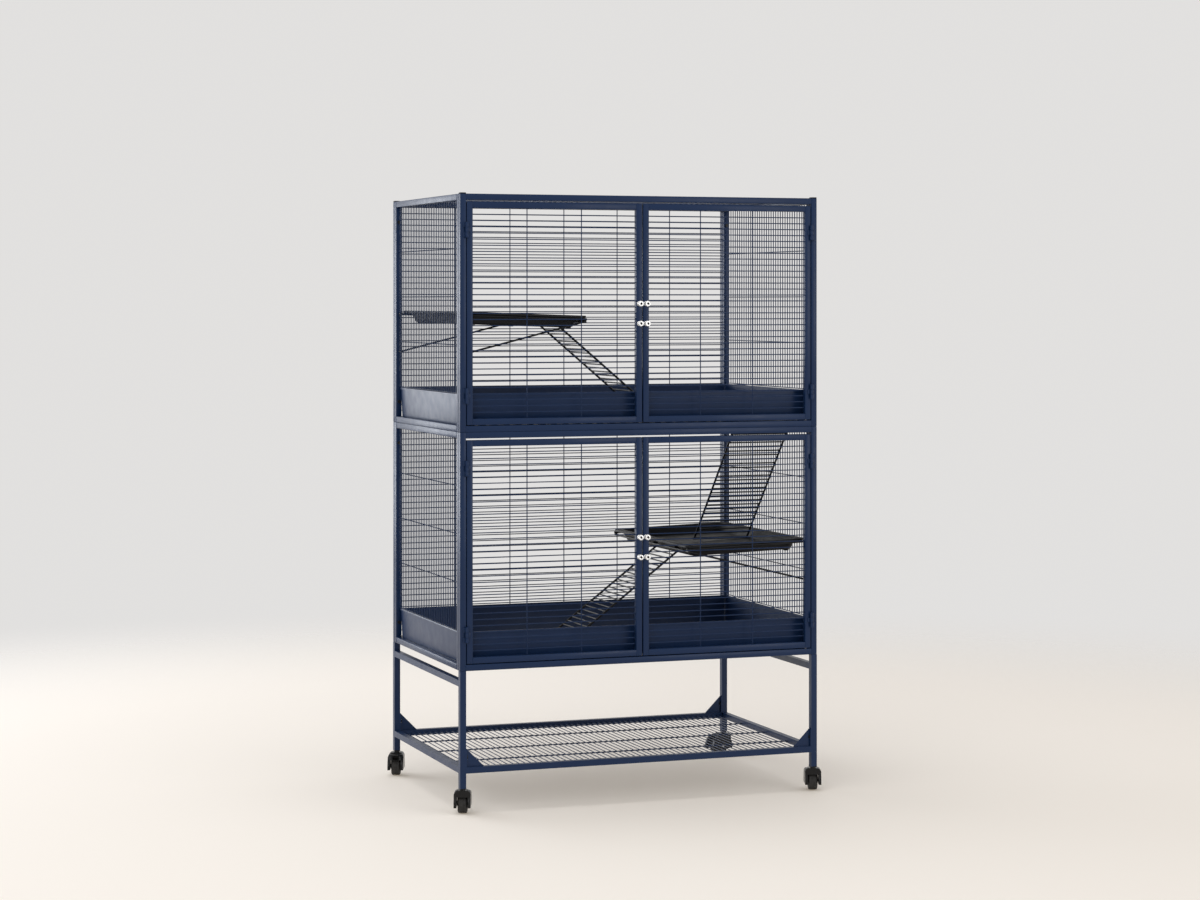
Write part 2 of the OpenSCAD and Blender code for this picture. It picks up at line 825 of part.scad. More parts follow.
module caster_sockets() {
    color(black)
    for (id = ["fl", "fr", "bl", "br"])
        at_leg(id)
            difference() {
                union() {
                    translate([-tube / 2, -tube / 2, caster_h - flange_h]) cube([tube, tube, flange_h]);
                    translate([-spigot_side / 2, -spigot_side / 2, caster_h - eps])
                        cube([spigot_side, spigot_side, stem_top - caster_h + 2 + eps]);
                }
                translate([0, 0, caster_h - flange_h - eps])
                    cylinder(h = stem_top - caster_h + 1 + flange_h, r = stem_r + run);
            }
}

// The hood from the side, and from the front with its round shoulders
module hood_side() {
    intersection() {
        union() {
            translate([trail, wheel_r]) circle(r = hood_r, $fn = 64);
            translate([-head_r, wheel_r]) square([head_r + trail, hood_top - wheel_r]);
        }
        translate([-2 * hood_r, hood_open_z]) square([4 * hood_r, hood_top - hood_open_z]);
    }
}

module hood_front() {
    translate([-hood_w / 2, 0]) square([hood_w, hood_top - hood_shoulder]);
    translate([-hood_w / 2 + hood_shoulder, 0]) square([hood_w - 2 * hood_shoulder, hood_top]);
    for (side = [-1, 1])
        translate([side * (hood_w / 2 - hood_shoulder), hood_top - hood_shoulder]) circle(r = hood_shoulder);
}

module caster_hood(id) {
    color(black)
    at_caster(id)
    difference() {
        union() {
            intersection() {
                rotate([90, 0, 90]) translate([0, 0, -hood_w]) linear_extrude(2 * hood_w) hood_side();
                translate([0, 3 * hood_r, 0]) rotate([90, 0, 0]) linear_extrude(6 * hood_r) hood_front();
            }
            translate([0, 0, hood_top - eps]) cylinder(h = neck_h + eps, r = neck_r);
            cylinder(h = stem_top, r = stem_r);
        }
        translate([-hood_slot / 2, trail, wheel_r])
            rotate([0, 90, 0]) cylinder(h = hood_slot, r = hood_slot_r);
        translate([-hood_slot / 2, trail - 2 * hood_r, -eps])
            cube([hood_slot, 4 * hood_r, hood_window_z + eps]);
        translate([-hood_w, trail, wheel_r])
            rotate([0, 90, 0]) cylinder(h = 2 * hood_w, r = axle_r + run);
        translate([-pedal_w / 2 - pedal_gap, pedal_y - pedal_r - pedal_gap, pedal_z - pedal_r - eps])
            cube([pedal_w + 2 * pedal_gap, hood_r, hood_r]);
        translate([-pedal_w / 2 - pedal_pin - eps, pedal_y, pedal_z])
            rotate([0, 90, 0]) cylinder(h = pedal_w + 2 * pedal_pin + 2 * eps, r = pedal_pin_r + run);
    }
}

// Tread with round edges, a dished disc and a hub that is wider than the tread
module caster_wheel(id) {
    edge = 3;
    hub_r = 7;
    hub_out = 1;
    dish = 1.5;
    disc_r = wheel_r - 5;
    color(black)
    at_caster(id)
        translate([0, trail, wheel_r])
            rotate([0, 90, 0])
                translate([0, 0, -wheel_w / 2])
                    rotate_extrude()
                        polygon([[axle_r + run, -hub_out], [hub_r, -hub_out], [hub_r, dish], [disc_r, dish],
                                 [disc_r, 0], [wheel_r - edge, 0], [wheel_r, edge],
                                 [wheel_r, wheel_w - edge], [wheel_r - edge, wheel_w], [disc_r, wheel_w],
                                 [disc_r, wheel_w - dish], [hub_r, wheel_w - dish],
                                 [hub_r, wheel_w + hub_out], [axle_r + run, wheel_w + hub_out]]);
}

module caster_axle(id) {
    color(zinc)
    at_caster(id)
        translate([0, trail, wheel_r])
            rotate([0, 90, 0])
                translate([0, 0, -hood_w / 2]) cylinder(h = hood_w, r = axle_r);
}

module brake_pedal(id) {
    color(black)
    at_caster(id)
        translate([0, pedal_y, pedal_z]) {
            translate([-pedal_w / 2, 0, 0]) rotate([0, 90, 0]) cylinder(h = pedal_w, r = pedal_r);
            translate([-pedal_w / 2 - pedal_pin, 0, 0])
                rotate([0, 90, 0]) cylinder(h = pedal_w + 2 * pedal_pin, r = pedal_pin_r);
            rotate([pedal_lift, 0, 0])
                translate([-pedal_w / 2, 0, -pedal_t / 2]) cube([pedal_w, pedal_len, pedal_t]);
        }
}

/* ---------- assembly ---------- */

stand_side_frame(-1);  // stand_left_frame
stand_side_frame(1);  // stand_right_frame
stand_rail(-1);  // stand_front_rail
stand_rail(1);  // stand_back_rail
wire_shelf();
stand_bolts();
spigots(stand_h);  // leg_spigots
spigots(storey_z(UPPER));  // storey_spigots
post_caps();
front_frame(LOWER);  // lower_front_frame
front_frame(UPPER);  // upper_front_frame
back_panel(LOWER);  // lower_back_panel
back_panel(UPPER);  // upper_back_panel
side_panel(LOWER, -1);  // lower_left_panel
side_panel(LOWER, 1);  // lower_right_panel
side_panel(UPPER, -1);  // upper_left_panel
side_panel(UPPER, 1);  // upper_right_panel
roof_panel();
panel_bolts();
hinge_pins();
floor_grate(LOWER);  // lower_floor_grate
floor_grate(UPPER);  // upper_floor_grate
pan(LOWER);  // lower_pan
pan(UPPER);  // upper_pan
door(LOWER, -1);  // lower_left_door
door(LOWER, 1);  // lower_right_door
door(UPPER, -1);  // upper_left_door
door(UPPER, 1);  // upper_right_door
door_studs(LOWER);  // lower_left_studs
door_studs(UPPER);  // upper_left_studs
latch(LOWER, -1);  // lower_latch_a
latch(LOWER, 1);  // lower_latch_b
latch(UPPER, -1);  // upper_latch_a
latch(UPPER, 1);  // upper_latch_b
color(black) on_tray() tray();  // upper_platform
color(black) at_lower_right() on_tray() tray();  // lower_platform
color(black) upper_bracket_shape();  // upper_bracket
color(black) at_lower_right() upper_bracket_shape();  // lower_bracket
upper_ramp();
middle_ramp();
lower_ramp();
caster_sockets();
caster_hood("fl");  // caster_hood_fl
caster_hood("fr");  // caster_hood_fr
caster_hood("bl");  // caster_hood_bl
caster_hood("br");  // caster_hood_br
caster_wheel("fl");  // caster_wheel_fl
caster_wheel("fr");  // caster_wheel_fr
caster_wheel("bl");  // caster_wheel_bl
caster_wheel("br");  // caster_wheel_br
caster_axle("fl");  // caster_axle_fl
caster_axle("fr");  // caster_axle_fr
caster_axle("bl");  // caster_axle_bl
caster_axle("br");  // caster_axle_br
brake_pedal("fl");  // brake_pedal_fl
brake_pedal("fr");  // brake_pedal_fr
brake_pedal("bl");  // brake_pedal_bl
brake_pedal("br");  // brake_pedal_br
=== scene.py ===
"""Looks of a two-storey ferret cage on a rolling stand.

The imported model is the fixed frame. This script puts finishes on its nodes,
builds the welded grilles, pans, platforms and small fittings in finer detail,
and sets up the camera, a pale floor and soft studio light.

The cage's classes are in millimetres, and Shaper.piece turns what they make
into metres. The studio and the relief of the finishes are in metres.
"""

from __future__ import annotations

import logging
import math
from dataclasses import dataclass, field
from enum import Enum

import bmesh
import bpy
from mathutils import Matrix, Vector

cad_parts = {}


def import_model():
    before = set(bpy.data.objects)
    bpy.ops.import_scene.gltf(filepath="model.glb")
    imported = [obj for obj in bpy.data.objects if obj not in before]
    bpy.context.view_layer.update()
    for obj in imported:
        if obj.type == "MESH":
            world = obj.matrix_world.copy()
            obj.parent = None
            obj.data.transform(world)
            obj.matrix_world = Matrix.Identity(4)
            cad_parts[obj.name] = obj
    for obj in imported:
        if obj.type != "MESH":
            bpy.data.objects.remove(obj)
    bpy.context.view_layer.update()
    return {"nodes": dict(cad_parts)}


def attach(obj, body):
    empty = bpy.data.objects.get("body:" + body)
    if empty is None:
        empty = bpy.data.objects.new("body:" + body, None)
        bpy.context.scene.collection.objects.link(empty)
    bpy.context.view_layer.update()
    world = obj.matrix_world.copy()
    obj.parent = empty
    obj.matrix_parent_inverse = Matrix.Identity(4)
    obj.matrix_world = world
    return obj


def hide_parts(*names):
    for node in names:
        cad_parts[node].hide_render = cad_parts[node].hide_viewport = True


LOG = logging.getLogger("ferret_cage")

MM = 0.001

Point = tuple[float, float, float]
Colour = tuple[float, float, float]
Span = tuple[float, float]
Socket = bpy.types.NodeSocket

UP: Point = (0.0, 0.0, 1.0)
BACK: Point = (0.0, 1.0, 0.0)


# ---------------------------------------------------------------- choices


class Named(Enum):
    """A choice whose name is part of the names of nodes."""

    @property
    def word(self) -> str:
        """The name as the nodes spell it."""
        return self.name.lower()


class Storey(Named):
    """The two storeys of the cage, lowest first."""

    LOWER = 0
    UPPER = 1


class Side(Named):
    """Left and right as someone facing the doors sees them, with the sign of X there."""

    LEFT = -1
    RIGHT = 1


class Run(Enum):
    """The way a grille's closely spaced wires run."""

    ACROSS = "across"
    UPRIGHT = "upright"


class Corner(Named):
    """A caster's corner: the signs of X and Y there, and its turn in degrees from trailing backwards."""

    FL = (-1, -1, 340)
    FR = (1, -1, 340)
    BL = (-1, 1, 160)
    BR = (1, 1, 105)


# ---------------------------------------------------------------- finishes


@dataclass(frozen=True)
class Grain:
    """A noise: its cycles per metre, its number of finer layers and their weight."""

    scale: float
    detail: float = 2.0
    weight: float = 0.5


class NodeLayout:
    """A short way to lay out a node tree."""

    def __init__(self, tree: bpy.types.NodeTree) -> None:
        """Takes the tree that the nodes go in."""
        self.tree = tree

    def add(self, kind: str, **inputs: float | Colour | Socket) -> bpy.types.Node:
        """Adds a node and fills its sockets.

        Args:
            kind: The node's type, without the word ShaderNode.
            inputs: What goes in each socket, named with underscores for spaces.

        Returns:
            The node.
        """
        node = self.tree.nodes.new(f"ShaderNode{kind}")
        self.fill(node, **inputs)
        return node

    def fill(self, node: bpy.types.Node, **inputs: float | Colour | Socket) -> None:
        """Fills a node's sockets.

        Args:
            node: The node.
            inputs: What goes in each socket, named with underscores for spaces.
        """
        for name, value in inputs.items():
            self.plug(node.inputs[name.replace("_", " ")], value)

    def plug(self, socket: Socket, value: float | Colour | Socket) -> None:
        """Fills one socket.

        Args:
            socket: The socket.
            value: A number, a colour or the socket that feeds it.
        """
        if isinstance(value, Socket):
            self.tree.links.new(value, socket)
        elif isinstance(value, tuple):
            socket.default_value = (*value, 1.0)
        else:
            socket.default_value = value

    def shown(self) -> Socket:
        """Tells the rays that show a surface from those that light one.

        Returns:
            A socket with 1 for camera, glossy and transmission rays, and 0 for others.
        """
        path = self.add("LightPath")
        seen = path.outputs["Is Camera Ray"]
        for ray in ("Is Glossy Ray", "Is Transmission Ray"):
            either = self.add("Math")
            either.operation = "MAXIMUM"
            self.plug(either.inputs[0], seen)
            self.plug(either.inputs[1], path.outputs[ray])
            seen = either.outputs["Value"]
        return seen


class MaterialLayout(NodeLayout):
    """The nodes of one new material, which end in a Principled shader."""

    noise_range: Span = (0.3, 0.7)  # the useful middle of a noise

    def __init__(self, name: str) -> None:
        """Starts a material with its shader.

        Args:
            name: The material's name.
        """
        self.material = bpy.data.materials.new(name)
        self.material.use_nodes = True
        super().__init__(self.material.node_tree)
        self.shader = self.tree.nodes["Principled BSDF"]
        self.place = self.add("TexCoord").outputs["Object"]

    def noise(self, grain: Grain) -> Socket:
        """Noise that is fixed to the piece.

        Args:
            grain: Its scale and layers.

        Returns:
            The noise value's socket.
        """
        node = self.add("TexNoise", Vector=self.place, Scale=grain.scale, Detail=grain.detail,
                        Roughness=grain.weight)
        return node.outputs["Fac"]

    def cells(self, scale: float) -> Socket:
        """Rounded cells like moulded leather grain.

        Args:
            scale: Cells per metre.

        Returns:
            The socket of the distance to the cell's centre.
        """
        node = self.add("TexVoronoi", Vector=self.place, Scale=scale)
        node.feature = "SMOOTH_F1"
        return node.outputs["Distance"]

    def spread(self, value: Socket, low: float, high: float) -> Socket:
        """Maps a noise to a range.

        Args:
            value: The noise's socket.
            low: Result at the noise's low end.
            high: Result at its high end.

        Returns:
            The mapped value's socket.
        """
        least, most = self.noise_range
        node = self.add("MapRange", Value=value, From_Min=least, From_Max=most, To_Min=low, To_Max=high)
        return node.outputs["Result"]

    def blend(self, value: Socket, one: Colour, two: Colour) -> Socket:
        """Blends two colours by a noise.

        Args:
            value: The noise's socket.
            one: Colour at its low end.
            two: Colour at its high end.

        Returns:
            The colour's socket.
        """
        node = self.add("ValToRGB", Fac=value)
        for stop, position, colour in zip(node.color_ramp.elements, self.noise_range, (one, two)):
            stop.position = position
            stop.color = (*colour, 1.0)
        return node.outputs["Color"]

    def bump(self, height: Socket, depth: float, share: float, under: Socket | None = None) -> Socket:
        """A bump from a height.

        Args:
            height: The height's socket.
            depth: Height of the relief in metres.
            share: How much of it shows.
            under: A bump that this one lies on.

        Returns:
            The normal's socket.
        """
        node = self.add("Bump", Height=height, Distance=depth, Strength=share)
        if under is not None:
            self.plug(node.inputs["Normal"], under)
        return node.outputs["Normal"]

    def dress(self, **inputs: float | Colour | Socket) -> bpy.types.Material:
        """Fills the shader's own sockets.

        Args:
            inputs: What goes in each socket, named with underscores for spaces.

        Returns:
            The material.
        """
        self.fill(self.shader, **inputs)
        return self.material


@dataclass(frozen=True)
class Finish:
    """What every finish has: the record's slot, two shades of a colour and a range of roughness."""

    slot: str
    colour: Colour
    shade: Colour
    rough: Span
    stain: Grain
    haze: Grain

    def layout(self) -> MaterialLayout:
        """Starts the material.

        Returns:
            Its nodes, with the stained colour and the hazed roughness in place.
        """
        nodes = MaterialLayout(self.slot)
        nodes.dress(Base_Color=nodes.blend(nodes.noise(self.stain), self.colour, self.shade),
                    Roughness=nodes.spread(nodes.noise(self.haze), *self.rough))
        return nodes


@dataclass(frozen=True)
class PowderCoat(Finish):
    """Satin powder coat with a fine orange peel and a little variation."""

    stain: Grain = Grain(9.0, 3.0)
    haze: Grain = Grain(45.0, 4.0)
    peel: Grain = Grain(620.0, 1.0)
    peel_depth: float = 0.00006
    peel_share: float = 0.55
    shine: float = 0.08
    shine_rough: float = 0.18
    gloss: float = 0.2
    ior: float = 1.46

    def material(self) -> bpy.types.Material:
        """The coat as a material."""
        nodes = self.layout()
        peel = nodes.bump(nodes.noise(self.peel), self.peel_depth, self.peel_share)
        return nodes.dress(Normal=peel, Coat_Weight=self.shine, Coat_Roughness=self.shine_rough,
                           Specular_IOR_Level=self.gloss, IOR=self.ior)


@dataclass(frozen=True)
class MouldedPlastic(Finish):
    """Injection-moulded black plastic with a spark-eroded grain over soft waves."""

    stain: Grain = Grain(14.0, 6.0, 0.65)
    haze: Grain = Grain(60.0, 3.0)
    wave: Grain = Grain(28.0, 1.0)
    wave_depth: float = 0.0004
    wave_share: float = 0.12
    pores: float = 1300.0
    pore_depth: float = 0.00012
    pore_share: float = 0.5
    gloss: float = 0.25
    ior: float = 1.46

    def material(self) -> bpy.types.Material:
        """The plastic as a material."""
        nodes = self.layout()
        waves = nodes.bump(nodes.noise(self.wave), self.wave_depth, self.wave_share)
        pores = nodes.bump(nodes.cells(self.pores), self.pore_depth, self.pore_share, waves)
        return nodes.dress(Normal=pores, Specular_IOR_Level=self.gloss, IOR=self.ior)


@dataclass(frozen=True)
class Plating(Finish):
    """Bright or dull metal plating with faint polishing marks."""

    stain: Grain = Grain(120.0, 4.0)
    haze: Grain = Grain(300.0, 3.0)
    marks: Grain = Grain(900.0)
    mark_depth: float = 0.00002
    mark_share: float = 0.4

    def material(self) -> bpy.types.Material:
        """The plating as a material."""
        nodes = self.layout()
        marks = nodes.bump(nodes.noise(self.marks), self.mark_depth, self.mark_share)
        return nodes.dress(Normal=marks, Metallic=1.0)


@dataclass(frozen=True)
class Tread(Finish):
    """Matt black tread rubber with dust in its grain."""

    stain: Grain = Grain(70.0, 6.0, 0.7)
    haze: Grain = Grain(110.0)
    grit: Grain = Grain(1500.0)
    grit_depth: float = 0.00012
    grit_share: float = 0.5
    ior: float = 1.5

    def material(self) -> bpy.types.Material:
        """The rubber as a material."""
        nodes = self.layout()
        grit = nodes.bump(nodes.noise(self.grit), self.grit_depth, self.grit_share)
        return nodes.dress(Normal=grit, IOR=self.ior)


class Paint(Enum):
    """Every finish on the cage."""

    NAVY = PowderCoat("navy_paint", (0.0068, 0.0215, 0.0660), (0.0085, 0.0250, 0.0740), (0.33, 0.44))
    BLACK_WIRE = PowderCoat("black_paint", (0.0075, 0.0078, 0.0090), (0.0110, 0.0112, 0.0125),
                            (0.37, 0.48), peel=Grain(700.0, 1.0), shine=0.05, gloss=0.25)
    PLATFORM = MouldedPlastic("black_plastic", (0.0085, 0.0088, 0.0100), (0.0130, 0.0132, 0.0146),
                              (0.46, 0.59))
    CASTER = MouldedPlastic("caster_plastic", (0.0060, 0.0060, 0.0062), (0.0100, 0.0100, 0.0102),
                            (0.21, 0.34), pores=1800.0, pore_depth=0.00003)
    TREAD = Tread("wheel_rubber", (0.0120, 0.0115, 0.0110), (0.0300, 0.0280, 0.0250), (0.58, 0.80))
    CHROME = Plating("chrome", (0.86, 0.86, 0.85), (0.78, 0.78, 0.77), (0.168, 0.36))
    ZINC = Plating("zinc", (0.42, 0.43, 0.45), (0.33, 0.34, 0.36), (0.266, 0.57), marks=Grain(1400.0))


class PaintShop:
    """Mixes each finish once and puts it on pieces."""

    def __init__(self) -> None:
        """Starts with no material mixed."""
        self.mixed: dict[Paint, bpy.types.Material] = {}

    def coat(self, thing: bpy.types.Object, paint: Paint) -> None:
        """Gives a piece one finish all over.

        Args:
            thing: A mesh object.
            paint: The finish.
        """
        if paint not in self.mixed:
            self.mixed[paint] = paint.value.material()
        if thing.material_slots:
            for holder in thing.material_slots:
                holder.material = self.mixed[paint]
        else:
            thing.data.materials.append(self.mixed[paint])


# ---------------------------------------------------------------- mesh making


def stand_in_scene(name: str, data: bpy.types.ID) -> bpy.types.Object:
    """Puts a mesh, a lamp or a camera in the scene.

    Args:
        name: The object's name.
        data: What it shows.

    Returns:
        The object.
    """
    thing = bpy.data.objects.new(name, data)
    bpy.context.scene.collection.objects.link(thing)
    return thing


def skin(part: bmesh.types.BMesh, stack: list[list[Point]]) -> list[list[bmesh.types.BMVert]]:
    """Adds a skin over a stack of rings with equal numbers of points, open at both ends.

    Args:
        part: The mesh it goes in.
        stack: The rings, in order.

    Returns:
        Each ring's vertices.
    """
    rings = [[part.verts.new(point) for point in ring] for ring in stack]
    for below, above in zip(rings, rings[1:]):
        for i, vertex in enumerate(below):
            j = (i + 1) % len(below)
            part.faces.new((vertex, below[j], above[j], above[i]))
    return rings


class Shaper:
    """Gathers the mesh of one piece, in millimetres."""

    edge_steps: int = 2  # facets round a bar's edges
    edge_share: float = 0.45  # their largest radius, as a share of the bar's least side
    merge: float = 0.0001  # points of a turned shape that are nearer than this are one
    sharp: float = 40.0  # angle in degrees over which an edge shows

    def __init__(self, place: Matrix | None = None) -> None:
        """Starts an empty mesh.

        Args:
            place: Where what is added next goes.
        """
        self.mesh = bmesh.new()
        self.place = place or Matrix.Identity(4)

    def block(self, centre: Point | Vector, size: Point | Vector, edge: float) -> None:
        """Adds a straight bar about its centre.

        Args:
            centre: Its centre.
            size: Its three sides.
            edge: Radius of its edges, or 0 to leave them.
        """
        part = bmesh.new()
        bmesh.ops.create_cube(part, size=1.0)
        for vertex in part.verts:
            vertex.co = Vector(centre) + Vector(a * b for a, b in zip(vertex.co, size))
        if edge > 0:
            bmesh.ops.bevel(part, geom=list(part.edges), offset=min(edge, min(size) * self.edge_share),
                            segments=self.edge_steps, profile=0.5, affect="EDGES")
        self.join(part)

    def bar(self, low: Point, high: Point, edge: float) -> None:
        """Adds a straight bar from its lowest to its highest corner."""
        self.block((Vector(low) + Vector(high)) / 2, Vector(high) - Vector(low), edge)

    def wire(self, start: Point, end: Point, radius: float, sides: int = 10) -> None:
        """Adds a straight round wire.

        Args:
            start: Centre of one end.
            end: Centre of the other end.
            radius: Its radius.
            sides: Facets round it.
        """
        p, q = Vector(start), Vector(end)
        turn = (q - p).to_track_quat("Z", "Y").to_matrix().to_4x4()
        bmesh.ops.create_cone(self.mesh, cap_ends=True, segments=sides, radius1=radius, radius2=radius,
                              depth=(q - p).length,
                              matrix=self.place @ Matrix.Translation((p + q) / 2) @ turn)

    def lathe(self, outline: list[Span], origin: Point, sides: int, axis: Point = UP) -> None:
        """Adds a turned shape.

        Args:
            outline: Radius and height of each point, which make a closed loop.
            origin: The axis's start.
            sides: Facets round it.
            axis: The axis's direction.
        """
        part = bmesh.new()
        rings = []
        for i in range(sides):
            a = 2 * math.pi * i / sides
            rings.append([part.verts.new((r * math.cos(a), r * math.sin(a), h)) for r, h in outline])
        for i in range(sides):
            here, there = rings[i], rings[(i + 1) % sides]
            for j in range(len(outline)):
                k = (j + 1) % len(outline)
                part.faces.new((here[j], there[j], there[k], here[k]))
        bmesh.ops.remove_doubles(part, verts=part.verts, dist=self.merge)
        bmesh.ops.dissolve_degenerate(part, dist=self.merge, edges=part.edges)
        turn = Vector(axis).to_track_quat("Z", "Y").to_matrix().to_4x4()
        part.transform(Matrix.Translation(Vector(origin)) @ turn)
        self.join(part)

    def stack(self, rings: list[list[Point]]) -> None:
        """Adds a closed skin over a stack of rings with equal numbers of points.

        Args:
            rings: The rings, in order.
        """
        part = bmesh.new()
        rows = skin(part, rings)
        part.faces.new(list(reversed(rows[0])))
        part.faces.new(rows[-1])
        self.join(part)

    def join(self, part: bmesh.types.BMesh) -> None:
        """Moves another mesh into this one, at the current place.

        Args:
            part: The mesh, which is used up.
        """
        bmesh.ops.recalc_face_normals(part, faces=part.faces)
        part.transform(self.place)
        held = bpy.data.meshes.new("held")
        part.to_mesh(held)
        part.free()
        self.mesh.from_mesh(held)
        bpy.data.meshes.remove(held)

    def piece(self, name: str) -> bpy.types.Object:
        """Makes the object in metres.

        Args:
            name: The piece's name.

        Returns:
            The object, in the scene.
        """
        self.mesh.transform(Matrix.Scale(MM, 4))
        data = bpy.data.meshes.new(name)
        self.mesh.to_mesh(data)
        self.mesh.free()
        data.shade_smooth()
        data.set_sharp_from_angle(angle=math.radians(self.sharp))
        return stand_in_scene(name, data)


def rounded_rectangle(width: float, depth: float, radius: float, z: float) -> list[Point]:
    """Points round a rectangle with round corners, about the origin.

    Args:
        width: Size along X.
        depth: Size along Y.
        radius: Corner radius.
        z: Height.

    Returns:
        The points, anticlockwise from above.
    """
    steps = 6
    points = []
    for sx, sy, start in ((1, 1, 0), (-1, 1, 90), (-1, -1, 180), (1, -1, 270)):
        cx, cy = sx * (width / 2 - radius), sy * (depth / 2 - radius)
        for i in range(steps + 1):
            a = math.radians(start + 90 * i / steps)
            points.append((cx + radius * math.cos(a), cy + radius * math.sin(a), z))
    return points


def between(low: float, high: float, gaps: int) -> list[float]:
    """Places that part a length into equal gaps, without its two ends."""
    return [low + i * (high - low) / gaps for i in range(1, gaps)]


def at_pitch(low: float, high: float, pitch: float) -> list[float]:
    """The same, with the number of gaps that comes nearest to a pitch."""
    return between(low, high, round((high - low) / pitch))


# ---------------------------------------------------------------- shared sizes


@dataclass(frozen=True)
class Cage:
    """Sizes that every sub-assembly shares, as the solids have them."""

    width: float = 787.0
    depth: float = 508.0
    storey: float = 482.0
    stand: float = 289.0
    tube: float = 12.7
    tube_edge: float = 1.3
    wire: float = 2.1
    pitch: float = 12.7
    sunk: float = 0.15  # share of its thickness that a wire sinks into its cross wire

    @property
    def inner_width(self) -> float:
        """Clear width between the posts."""
        return self.width - 2 * self.tube

    @property
    def inner_depth(self) -> float:
        """Clear depth between the posts."""
        return self.depth - 2 * self.tube

    @property
    def post_x(self) -> float:
        """Distance of a post's axis from the middle, along X."""
        return (self.width - self.tube) / 2

    @property
    def post_y(self) -> float:
        """Distance of a post's axis from the middle, along Y."""
        return (self.depth - self.tube) / 2

    def floor(self, storey: Storey) -> float:
        """Height of a storey's underside."""
        return self.stand + storey.value * self.storey

    def crossing(self, wire: float, cross: float) -> float:
        """Distance from a wire's axis to that of the cross wire welded to it."""
        return (wire + cross) / 2 - self.sunk * wire


@dataclass(frozen=True)
class Hatch:
    """The opening in the upper storey's floor that the middle ramp passes through."""

    x: float = 291.5
    width: float = 146.0
    front: float = -219.6
    back: float = -69.0

    @property
    def left(self) -> float:
        """Its left edge."""
        return self.x - self.width / 2

    @property
    def right(self) -> float:
        """Its right edge."""
        return self.x + self.width / 2


CAGE = Cage()
HATCH = Hatch()


@dataclass
class Workshop:
    """What every sub-assembly needs to put its pieces on the cage."""

    paints: PaintShop = field(default_factory=PaintShop)
    made: int = 0
    merge: float = 0.01
    edge_steps: int = 2
    edge_angle: float = 50.0

    def fit(self, thing: bpy.types.Object, paint: Paint, body: str, *nodes: str) -> None:
        """Finishes a new piece and hangs it on its body.

        Args:
            thing: The piece.
            paint: Its finish.
            body: The body it moves with.
            nodes: Nodes that it stands for.
        """
        self.paints.coat(thing, paint)
        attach(thing, body)
        if nodes:
            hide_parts(*nodes)
        self.made += 1
        LOG.info("%s rides on %s, %d faces", thing.name, body, len(thing.data.polygons))

    def keep(self, thing: bpy.types.Object, paint: Paint, edge: float) -> None:
        """Finishes a node that keeps its own mesh.

        Args:
            thing: The node's object.
            paint: Its finish.
            edge: Radius of its edges, or 0 to leave them.
        """
        self.paints.coat(thing, paint)
        if edge > 0:
            weld = thing.modifiers.new("weld", "WELD")
            weld.merge_threshold = self.merge * MM
            bevel = thing.modifiers.new("edges", "BEVEL")
            bevel.width = edge * MM
            bevel.segments = self.edge_steps
            bevel.limit_method = "ANGLE"
            bevel.angle_limit = math.radians(self.edge_angle)
            bevel.use_clamp_overlap = True
        LOG.info("%s keeps its mesh", thing.name)


# ---------------------------------------------------------------- frames and grilles


@dataclass
class TubeFrame:
    """A welded rectangle of square tube: posts at full height, rails between them."""

    width: float
    height: float
    lap: float = 0.8  # how far a rail runs into a post
    step: float = 0.12  # how far a rail's faces lie behind a post's
    bead: float = 0.55
    bead_depth: float = 0.25
    bead_end: float = 0.9

    def build(self, shaper: Shaper) -> None:
        """Adds the frame, standing in the XZ plane with its outer face at y = 0.

        Args:
            shaper: Where it goes.
        """
        tube, edge = CAGE.tube, CAGE.tube_edge
        reach = self.width / 2 - tube
        for side in Side:
            x = side.value * (reach + tube / 2)
            shaper.block((x, tube / 2, self.height / 2), (tube, tube, self.height), edge)
        for z in (0.0, self.height - tube):
            shaper.bar((-reach - self.lap, self.step, z), (reach + self.lap, tube - self.step, z + tube),
                       edge)
            for side in Side:
                self.seam(shaper, side.value * reach, z)

    def seam(self, shaper: Shaper, x: float, low: float) -> None:
        """Adds the weld beads where a rail meets a post, on its outer and inner face.

        Args:
            shaper: Where they go.
            x: The seam's place.
            low: The rail's lower edge.
        """
        start, end = low + self.bead_end, low + CAGE.tube - self.bead_end
        for y in (self.bead_depth, CAGE.tube - self.bead_depth):
            shaper.wire((x, y, start), (x, y, end), self.bead, 8)


